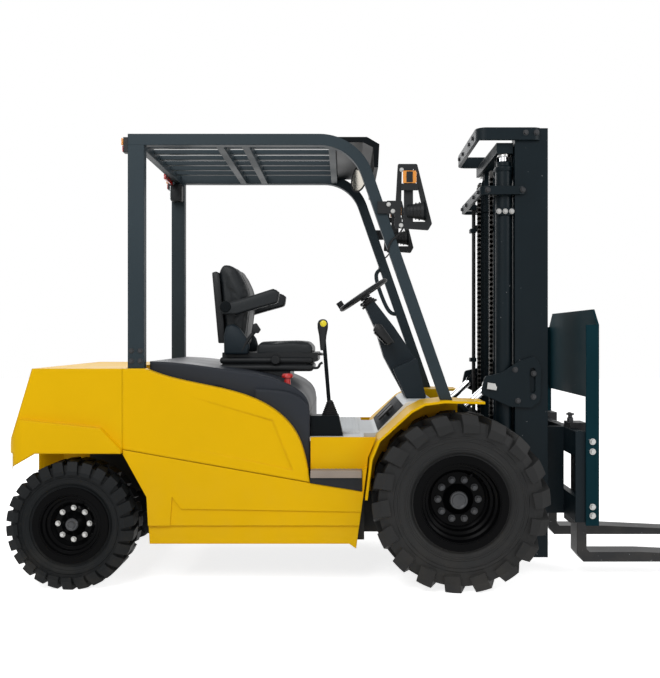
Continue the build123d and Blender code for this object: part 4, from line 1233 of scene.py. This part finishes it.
@dataclass
class Guard:
    """Lamps, mirror, handle and bolts of the overhead guard."""

    face_y: float = 0.5553
    post_x: float = -1.3615
    lamp_x: float = 0.0545
    lamp_z: float = 1.852

    def grab_handle(self) -> None:
        """Bent handle on the left front pillar."""
        y = 0.529
        line = [(-0.088, y, 1.660), (-0.128, y, 1.648), (-0.142, y, 1.600), (-0.095, y, 1.462),
                (-0.055, y, 1.385), (-0.015, y, 1.372), (0.010, y, 1.380)]
        fit(tube("grab_handle", line, 0.0125), Body.CHASSIS, GUARD_PAINT)

    def mirror(self) -> None:
        """Oval mirror on a stalk under the visor."""
        place = aim((-0.72, -0.66, 0.18), (-0.253, -0.30, 2.063)) @ Matrix.Diagonal((0.78, 1.0, 1.0, 1.0))
        profile = [(-0.014, 0.0), (-0.011, 0.050), (0.0, 0.076), (0.006, 0.078), (0.007, 0.070),
                   (0.003, 0.069), (0.003, 0.0)]
        case = turned("mirror_case", profile, (0, 0, 0), Turn.Z, 40)
        profile = [(0.0025, 0.0), (0.0025, 0.0685), (0.0045, 0.0680), (0.0050, 0.0)]
        glass = turned("mirror_glass", profile, (0, 0, 0), Turn.Z, 40)
        for obj, finish in ((case, PLASTIC), (glass, MIRROR_GLASS)):
            obj.data.transform(place)
            trim(obj, finish)
        points = [(-0.244, -0.292, 2.061), (-0.215, -0.285, 2.085), (-0.182, -0.285, 2.105)]
        trim(tube("mirror_stalk", points, 0.005), PLASTIC)

    def lamp_glass(self) -> None:
        """Lenses, bezels, fins, bridges, indicators, bolts and cables of the front lamps."""
        for label, side in SIDES:
            y = side * (self.face_y + 0.006)
            profile = [(-0.004, 0.040), (0.004, 0.0465), (0.012, 0.0465), (0.014, 0.040), (0.006, 0.039),
                       (-0.004, 0.040)]
            bezel = turned(f"headlamp_bezel_{label}", profile, (self.lamp_x, y, self.lamp_z), Turn.X, 40)
            trim(bezel, GLOSS_PLASTIC)
            profile = [(0.0, 0.0), (0.0, 0.0405), (0.008, 0.0395), (0.013, 0.026), (0.0145, 0.0)]
            lens = turned(f"headlamp_lens_{label}", profile, (self.lamp_x, y, self.lamp_z), Turn.X, 40)
            fit(lens, Body.CHASSIS, CLEAR_LENS)
            fins = [turned("fin", [(0.0, 0.030 + 0.003 * k), (0.0, 0.036 + 0.0032 * k),
                                   (0.004, 0.036 + 0.0032 * k), (0.004, 0.030 + 0.003 * k)],
                           (-0.018 + 0.017 * k, y, self.lamp_z), Turn.X, 32) for k in range(4)]
            trim(joined(f"headlamp_fins_{label}", fins), PLASTIC)
            face = side * (self.face_y + 0.030)
            low, high = sorted((face, face + side * 0.004))
            amber = block(f"indicator_side_{label}", (-0.047, low, 1.986), (0.017, high, 2.047), 0.0015)
            bridge = block("bridge", (-0.056, low, 1.950), (0.027, high, 1.984), 0.0015)
            inner, outer = min(low, low + side * 0.003), max(high, high + side * 0.003)
            core = block("core", (-0.030, inner, 1.990), (0.001, outer, 2.043), 0.0015)
            trim(joined(f"lamp_bridge_{label}", [bridge, core]), PLASTIC)
            inner, outer = sorted((face - side * 0.002, face - side * 0.036))
            front = block(f"indicator_front_{label}", (0.0155, inner, 1.992), (0.0205, outer, 2.043), 0.0015)
            trim(joined(f"indicator_{label}", [amber, front]), AMBER_LENS)
            spots = [aim((0, side, 0), (x, side * (self.face_y + 0.0125), z))
                     for x, z in ((-0.116, 1.885), (-0.095, 1.852), (-0.052, 2.055), (-0.055, 1.782))]
            fit(copies(f"lamp_bolts_{label}", bolt(0.008, 0.006), spots), Body.CHASSIS, ZINC)
            points = [(-0.024, y, 1.835), (-0.030, y, 1.800), (-0.060, y, 1.740),
                      (-0.115, side * 0.5595, 1.700), (-0.120, side * 0.557, 1.650)]
            trim(tube(f"lamp_cable_{label}", points, 0.0045), HOSE_RUBBER)

    def rear_lamps(self) -> None:
        """Lenses of the rear lamps, the work lamp, the brake strip and the posts' bolts."""
        for label, side in SIDES:
            low, high = sorted((side * 0.512, side * 0.546))
            red = block(f"tail_lens_{label}", (-1.4318, low, 2.149), (-1.4252, high, 2.178), 0.002)
            trim(red, RED_LENS)
            amber = block(f"turn_lens_{label}", (-1.4370, low, 2.182), (-1.4252, high, 2.217), 0.003)
            trim(amber, AMBER_LENS)
            spots = [aim((0, side, 0), (self.post_x + dx, side * self.face_y, z))
                     for dx in (-0.022, 0.022) for z in (1.115, 1.165)]
            heads = copies(f"post_bolts_{label}", bolt(0.010, 0.008), spots)
            fit(heads, Body.CHASSIS, BLACK_ZINC)
        case = block("work_lamp", (-1.3960, 0.432, 2.062), (-1.3260, 0.5028, 2.168), 0.010)
        trim(smooth(case), PLASTIC)
        trim(block("work_lamp_lens", (-1.3995, 0.442, 2.074), (-1.3955, 0.493, 2.156), 0.0015), CLEAR_LENS)
        trim(block("brake_strip", (-1.3925, 0.230, 2.158), (-1.3790, 0.430, 2.190), 0.003), RED_LENS)

    def build(self) -> None:
        """Build and dress the guard's pieces."""
        self.grab_handle()
        self.mirror()
        self.lamp_glass()
        self.rear_lamps()


@dataclass
class Mast:
    """Leaf chains, clamps, hoses, pipes, glands, keepers and bolts of the mast."""

    chain_y: float = 0.200
    front_x: float = 0.5615
    rear_x: float = 0.4495
    pitch: float = 0.0254
    sheave_z: float = 2.112
    anchor_z: float = 0.600
    foot_z: float = 0.520
    lift: Flat = (0.4995, 0.300)
    stroke: float = 1.5

    def link(self, thickness: float) -> Object:
        """Model one link plate, rounded at both ends, along Z.

        Args:
            thickness: Thickness of the plate.

        Returns:
            The new object at the origin.
        """
        r, half = 0.0105, self.pitch / 2
        angles = (0.2, 0.8, math.pi / 2, math.pi - 0.8, math.pi - 0.2)
        ends = [(r * math.cos(a), half + r * math.sin(a)) for a in angles]
        waist = [(-0.0068, 0.0)]
        line = ends + waist + [(-x, -z) for x, z in ends] + [(0.0068, 0.0)]
        return plate("link", line, -thickness / 2, thickness / 2)

    def strand(self, name: str, x: float, leaves: Sequence[tuple[float, int]], low: float, high: float,
               thickness: float) -> Object:
        """Model both strands of a chain from link plates.

        Args:
            name: Plain name.
            x: Where the chain hangs.
            leaves: (offset across, 0 or 1 for the pitch it starts on) of each leaf.
            low: Lower end.
            high: Upper end.
            thickness: Thickness of a plate.

        Returns:
            The joined chain.
        """
        count = int((high - low) / self.pitch)
        places = []
        for side in (-1, 1):
            for offset, start in leaves:
                for k in range(start, count, 2):
                    z = low + (k + 0.5) * self.pitch
                    places.append(Matrix.Translation((x, side * self.chain_y + offset, z)))
        return copies(name, self.link(thickness), places)

    def chains(self) -> None:
        """Front strands that run to the carriage and rear strands to the anchors."""
        leaves = [(-0.0105, 0), (-0.0070, 1), (-0.0035, 0), (0.0, 1), (0.0035, 0), (0.0070, 1), (0.0105, 0)]
        front = self.strand("leaf_chain_front", self.front_x, leaves, self.foot_z, self.sheave_z, 0.0032)
        fit(front, Body.MAST_INNER, CHAIN_STEEL)
        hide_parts("chain_front")
        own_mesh(front)
        leaves = [(-0.0112, 0), (-0.0112, 1), (0.0112, 0), (0.0112, 1)]
        top = self.anchor_z + self.stroke
        outer = self.strand("leaf_chain_rear_outer", self.rear_x, leaves, self.anchor_z, top, 0.0032)
        fit(outer, Body.MAST_OUTER, CHAIN_STEEL)
        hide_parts("chain_rear_outer")
        leaves = [(-0.005, 0), (-0.0017, 1), (0.0017, 0), (0.005, 1)]
        foot = self.sheave_z - self.stroke
        inner = self.strand("leaf_chain_rear_inner", self.rear_x, leaves, foot, self.sheave_z, 0.0030)
        fit(inner, Body.MAST_INNER, CHAIN_STEEL)
        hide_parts("chain_rear_inner")

    def glands(self) -> None:
        """Gland nuts on the lift cylinders and caps on the rods."""
        x, y = self.lift
        for label, side in SIDES:
            profile = [(0.0, 0.036), (0.0, 0.046), (0.004, 0.048), (0.022, 0.048), (0.026, 0.045),
                       (0.030, 0.039), (0.048, 0.039), (0.052, 0.034), (0.052, 0.0225)]
            nut = turned(f"lift_gland_{label}", profile, (x, side * y, 2.094), Turn.Z, 40)
            fit(nut, Body.MAST_OUTER, MAST_PAINT)
            profile = [(-0.012, 0.0225), (-0.012, 0.032), (-0.001, 0.032), (-0.0005, 0.0225)]
            cap = turned(f"rod_cap_{label}", profile, (x, side * y, 2.185), Turn.Z, 32)
            fit(cap, Body.MAST_INNER, ZINC)

    def bolts(self) -> None:
        """Bolts of the head band, middle band, tilt brackets and anchors."""
        side_spots = [(0.600, 0.3735, 2.285), (0.655, 0.3735, 2.285), (0.585, 0.3715, 1.990),
                      (0.405, 0.3715, 1.990)]
        bracket = [(0.5455, 0.3715, 1.065), (0.6405, 0.3715, 1.045), (0.640, 0.3715, 0.925),
                   (0.560, 0.3715, 0.905)]
        places = []
        for side in (-1, 1):
            places += [aim((0, side, 0), (x, side * y, z)) for x, y, z in side_spots + bracket]
            places += [aim((-1, 0, 0), (0.3455, side * y, 2.280)) for y in (0.12, 0.26)]
            places += [aim((-1, 0, 0), (0.3675, side * y, 1.990)) for y in (0.14, 0.30)]
        fit(copies("mast_bolts", bolt(0.011, 0.009), places), Body.MAST_OUTER, BLACK_ZINC)
        anchors = [aim((0, 0, -1), (self.rear_x, side * self.chain_y, 0.559)) for side in (-1, 1)]
        fit(copies("chain_anchor_nuts", bolt(0.015, 0.016), anchors), Body.MAST_OUTER, ZINC)
        feet = [aim((0, 0, -1), (self.front_x, side * self.chain_y, 0.489)) for side in (-1, 1)]
        fit(copies("carriage_anchor_nuts", bolt(0.015, 0.016), feet), Body.CARRIAGE, ZINC)

    def keepers(self) -> None:
        """Bright keeper plates on the tilt pins."""
        points = [(0.398, 0.966), (0.446, 0.958), (0.450, 0.974), (0.440, 0.994), (0.402, 1.000)]
        right = plate("tilt_keeper_right", points, -0.3835, -0.3776, 0.0015)
        fit_pair(right, Body.MAST_OUTER, ZINC)

    def tilt_pipes(self) -> None:
        """Glands and steel feed pipes on the tilt cylinders."""
        for label, side in SIDES:
            body = Body(f"tilt_barrel_{label}")
            y = side * 0.300
            profile = [(-0.022, 0.037), (-0.020, 0.041), (0.004, 0.041), (0.007, 0.036), (0.007, 0.0215)]
            gland = turned(f"tilt_gland_{label}", profile, (0, 0, 0), Turn.Z, 36)
            gland.data.transform(aim((0.745241, 0, 0.666795), (0.2929, y, 0.8667)))
            fit(gland, body, MAST_PAINT)
            points = [(0.238, y, 0.850), (0.2255, y, 0.866), (0.205, y, 0.864), (0.161, y, 0.8275),
                      (0.117, y, 0.783), (0.103, y, 0.760), (0.106, y, 0.738)]
            fit(tube(f"tilt_pipe_{label}", points, 0.006), body, BLACK_ZINC)

    def clamps(self) -> None:
        """Clamp with three bright bolts on each lift cylinder."""
        for label, side in SIDES:
            low, high = sorted((side * 0.334, side * 0.352))
            bar = block(f"cylinder_clamp_{label}", (0.449, low, 1.864), (0.5465, high, 1.902), 0.004)
            fit(smooth(bar), Body.MAST_OUTER, MAST_PAINT)
            spots = [aim((0, side, 0), (x, side * 0.3535, 1.883)) for x in (0.465, 0.498, 0.531)]
            heads = copies(f"clamp_bolts_{label}", bolt(0.0105, 0.010), spots)
            fit(heads, Body.MAST_OUTER, ZINC)

    def mast_hoses(self) -> None:
        """Pair of hoses up the left side to the lift cylinder, with their clips."""
        for k, y in enumerate((0.232, 0.256)):
            line = [(0.425, y, 0.601), (0.425, y, 1.30), (0.425, y, 1.99), (0.425, y, 2.045),
                    (0.440, y + 0.02, 2.062), (0.468, 0.285, 2.062)]
            trim(tube(f"mast_hose_{k + 1}", line, 0.009), HOSE_RUBBER, Body.MAST_OUTER)
        clips = [block("clip", (0.402, 0.218, z - 0.012), (0.438, 0.270, z + 0.012), 0.003)
                 for z in (1.10, 1.855)]
        clips.append(block("clip", (0.3838, 0.218, 1.974), (0.438, 0.270, 2.006), 0.003))
        fit(joined("mast_hose_clips", clips), Body.MAST_OUTER, MAST_PAINT)

    def build(self) -> None:
        """Build and dress the mast's pieces."""
        self.chains()
        self.clamps()
        self.mast_hoses()
        self.glands()
        self.bolts()
        self.keepers()
        self.tilt_pipes()


@dataclass
class Carriage:
    """Fork locks, painted shade for the fork bar's notches, and bolts of the carriage."""

    fork_y: float = 0.305
    top_z: float = 0.761

    def fork_locks(self) -> None:
        """Spring pins on the fork hooks."""
        pins = []
        for side in (-1, 1):
            y = side * self.fork_y
            profile = [(0.0, 0.0), (0.0, 0.016), (0.020, 0.016), (0.024, 0.011), (0.034, 0.011),
                       (0.036, 0.020), (0.044, 0.020), (0.046, 0.0)]
            body = turned("pin", profile, (0.846, y, 0.791), Turn.Z, 24)
            points = [(0.846, y - 0.03, 0.833), (0.846, y, 0.836), (0.846, y + 0.03, 0.833)]
            grip = tube("grip", points, 0.006)
            pins += [body, grip]
        fit(joined("fork_locks", pins), Body.CARRIAGE, BLACK_ZINC)

    def painted_notch_shade(self) -> None:
        """Painted shade of the upper fork bar's notches: dark gloss blocks laid on its top where the notches'
        gaps lie in shadow.
        """
        notch_shade_blocks = []
        for k in range(-4, 5):
            if abs(k) != 3:
                y = 0.10 * k
                notch_shade_blocks.append(block("notch_shade_block", (0.834, y - 0.007, self.top_z - 0.0005),
                                  (0.8652, y + 0.007, self.top_z + 0.0012), 0.0004))
        # These dark gloss blocks are painted shade, not cut notches.
        fit(joined("fork_bar_notch_shade", notch_shade_blocks), Body.CARRIAGE, GLOSS_PLASTIC)

    def bolts(self) -> None:
        """Bolts of the backrest's side flanges."""
        places = []
        for side in (-1, 1):
            places += [aim((0, side, 0), (0.907, side * 0.4983, z)) for z in (0.340, 0.384, 0.660, 0.710)]
        fit(copies("backrest_bolts", bolt(0.012, 0.010), places), Body.CARRIAGE, ZINC)

    def build(self) -> None:
        """Build and dress the carriage's pieces."""
        self.fork_locks()
        self.painted_notch_shade()
        self.bolts()


def sub_assemblies() -> list[Seat | Controls | Guard | Mast | Carriage]:
    """The truck's sub-assemblies.

    Returns:
        One of each, in building order.
    """
    return [Seat(), Controls(), Guard(), Mast(), Carriage()]


# Studio


@dataclass(frozen=True)
class Lamp:
    """One soft square lamp, with its power in watts."""

    name: str
    spot: Point
    target: Point
    size: float
    power: float

    def hang(self) -> None:
        """Hang the lamp and point it at its target."""
        data = bpy.data.lights.new(self.name, "AREA")
        data.size = self.size
        data.energy = self.power
        lamp = bpy.data.objects.new(self.name, data)
        lamp.location = self.spot
        lamp.rotation_euler = (Vector(self.target) - Vector(self.spot)).to_track_quat("-Z", "Y").to_euler()
        bpy.context.collection.objects.link(lamp)


@dataclass(frozen=True)
class Studio:
    """Plain pale floor, soft light and the photograph's camera."""

    eye: Point = (-0.3305, -4.73, 1.233)
    lens: float = 46.2
    shift: Flat = (-0.0227, -0.003)
    floor_glow: float = 0.80
    soft_world: float = 0.38
    sensor: float = 36.0
    far: float = 60.0
    floor_size: float = 40.0
    floor_color: tuple[float, ...] = (0.86, 0.86, 0.86, 1)
    lamps: tuple[Lamp, ...] = (
        Lamp("key_light", spot=(-2.2, -4.6, 4.6), target=(-0.2, 0, 0.9), size=3.0, power=150),
        Lamp("front_light", spot=(4.6, -3.0, 3.4), target=(0.5, 0, 0.9), size=2.4, power=88),
        Lamp("back_light", spot=(-2.5, 4.6, 4.4), target=(0, 0, 1.0), size=3.0, power=112),
    )

    def camera(self) -> None:
        """Stand the camera level at the truck's right side."""
        data = bpy.data.cameras.new("side_camera")
        data.sensor_fit = "HORIZONTAL"
        data.sensor_width = self.sensor
        data.lens = self.lens
        data.shift_x, data.shift_y = self.shift
        data.clip_end = self.far
        eye = bpy.data.objects.new("side_camera", data)
        eye.location = self.eye
        eye.rotation_euler = (math.radians(90), 0, 0)
        bpy.context.collection.objects.link(eye)
        bpy.context.scene.camera = eye

    def seen(self, nodes: Tree) -> bpy.types.NodeSocket:
        """Whether a ray is a camera, glossy or transmission ray.

        Args:
            nodes: The tree to add the nodes to.

        Returns:
            1 for such a ray, else 0.
        """
        path = nodes.node("ShaderNodeLightPath")
        some = nodes.math("MAXIMUM", path.outputs["Is Camera Ray"], path.outputs["Is Glossy Ray"])
        return nodes.math("MAXIMUM", some, path.outputs["Is Transmission Ray"])

    def world(self) -> None:
        """White surroundings that light the truck softly."""
        world = bpy.data.worlds.new("studio")
        bpy.context.scene.world = world
        world.use_nodes = True
        nodes = Tree(world.node_tree)
        back = world.node_tree.nodes["Background"]
        back.inputs["Color"].default_value = (1, 1, 1, 1)
        nodes.feed(back.inputs["Strength"], nodes.ramp(self.seen(nodes), 0.0, 1.0, self.soft_world, 1.0))

    def floor(self) -> None:
        """Pale floor that keeps the truck's shadow."""
        clear_selection()
        bpy.ops.mesh.primitive_plane_add(size=self.floor_size, location=(0, 0, 0))
        floor = settle(bpy.context.object, "studio_floor")
        made = bpy.data.materials.new("studio_floor")
        made.use_nodes = True
        nodes = Tree(made.node_tree)
        shader = made.node_tree.nodes["Principled BSDF"]
        shader.inputs["Base Color"].default_value = self.floor_color
        shader.inputs["Roughness"].default_value = 0.9
        shader.inputs["Specular IOR Level"].default_value = 0.1
        glow = nodes.node("ShaderNodeEmission")
        nodes.feed(glow.inputs["Strength"], nodes.math("MULTIPLY", self.seen(nodes), self.floor_glow))
        both = nodes.node("ShaderNodeAddShader")
        nodes.feed(both.inputs[0], shader.outputs[0])
        nodes.feed(both.inputs[1], glow.outputs[0])
        nodes.feed(made.node_tree.nodes["Material Output"].inputs["Surface"], both.outputs[0])
        floor.data.materials.append(made)

    def build(self) -> None:
        """Set up the whole studio."""
        self.camera()
        self.world()
        self.floor()
        for lamp in self.lamps:
            lamp.hang()
        bpy.context.scene.view_settings.view_transform = "Standard"


def main() -> None:
    """Build the studio and every sub-assembly in order."""
    logging.basicConfig(level=logging.INFO, format="%(message)s")
    Studio().build()
    NodeFinishes().dress()
    for wheel in all_wheels():
        wheel.build()
    for part in sub_assemblies():
        part.build()
    clear_selection()


if __name__ == "__main__":
    main()
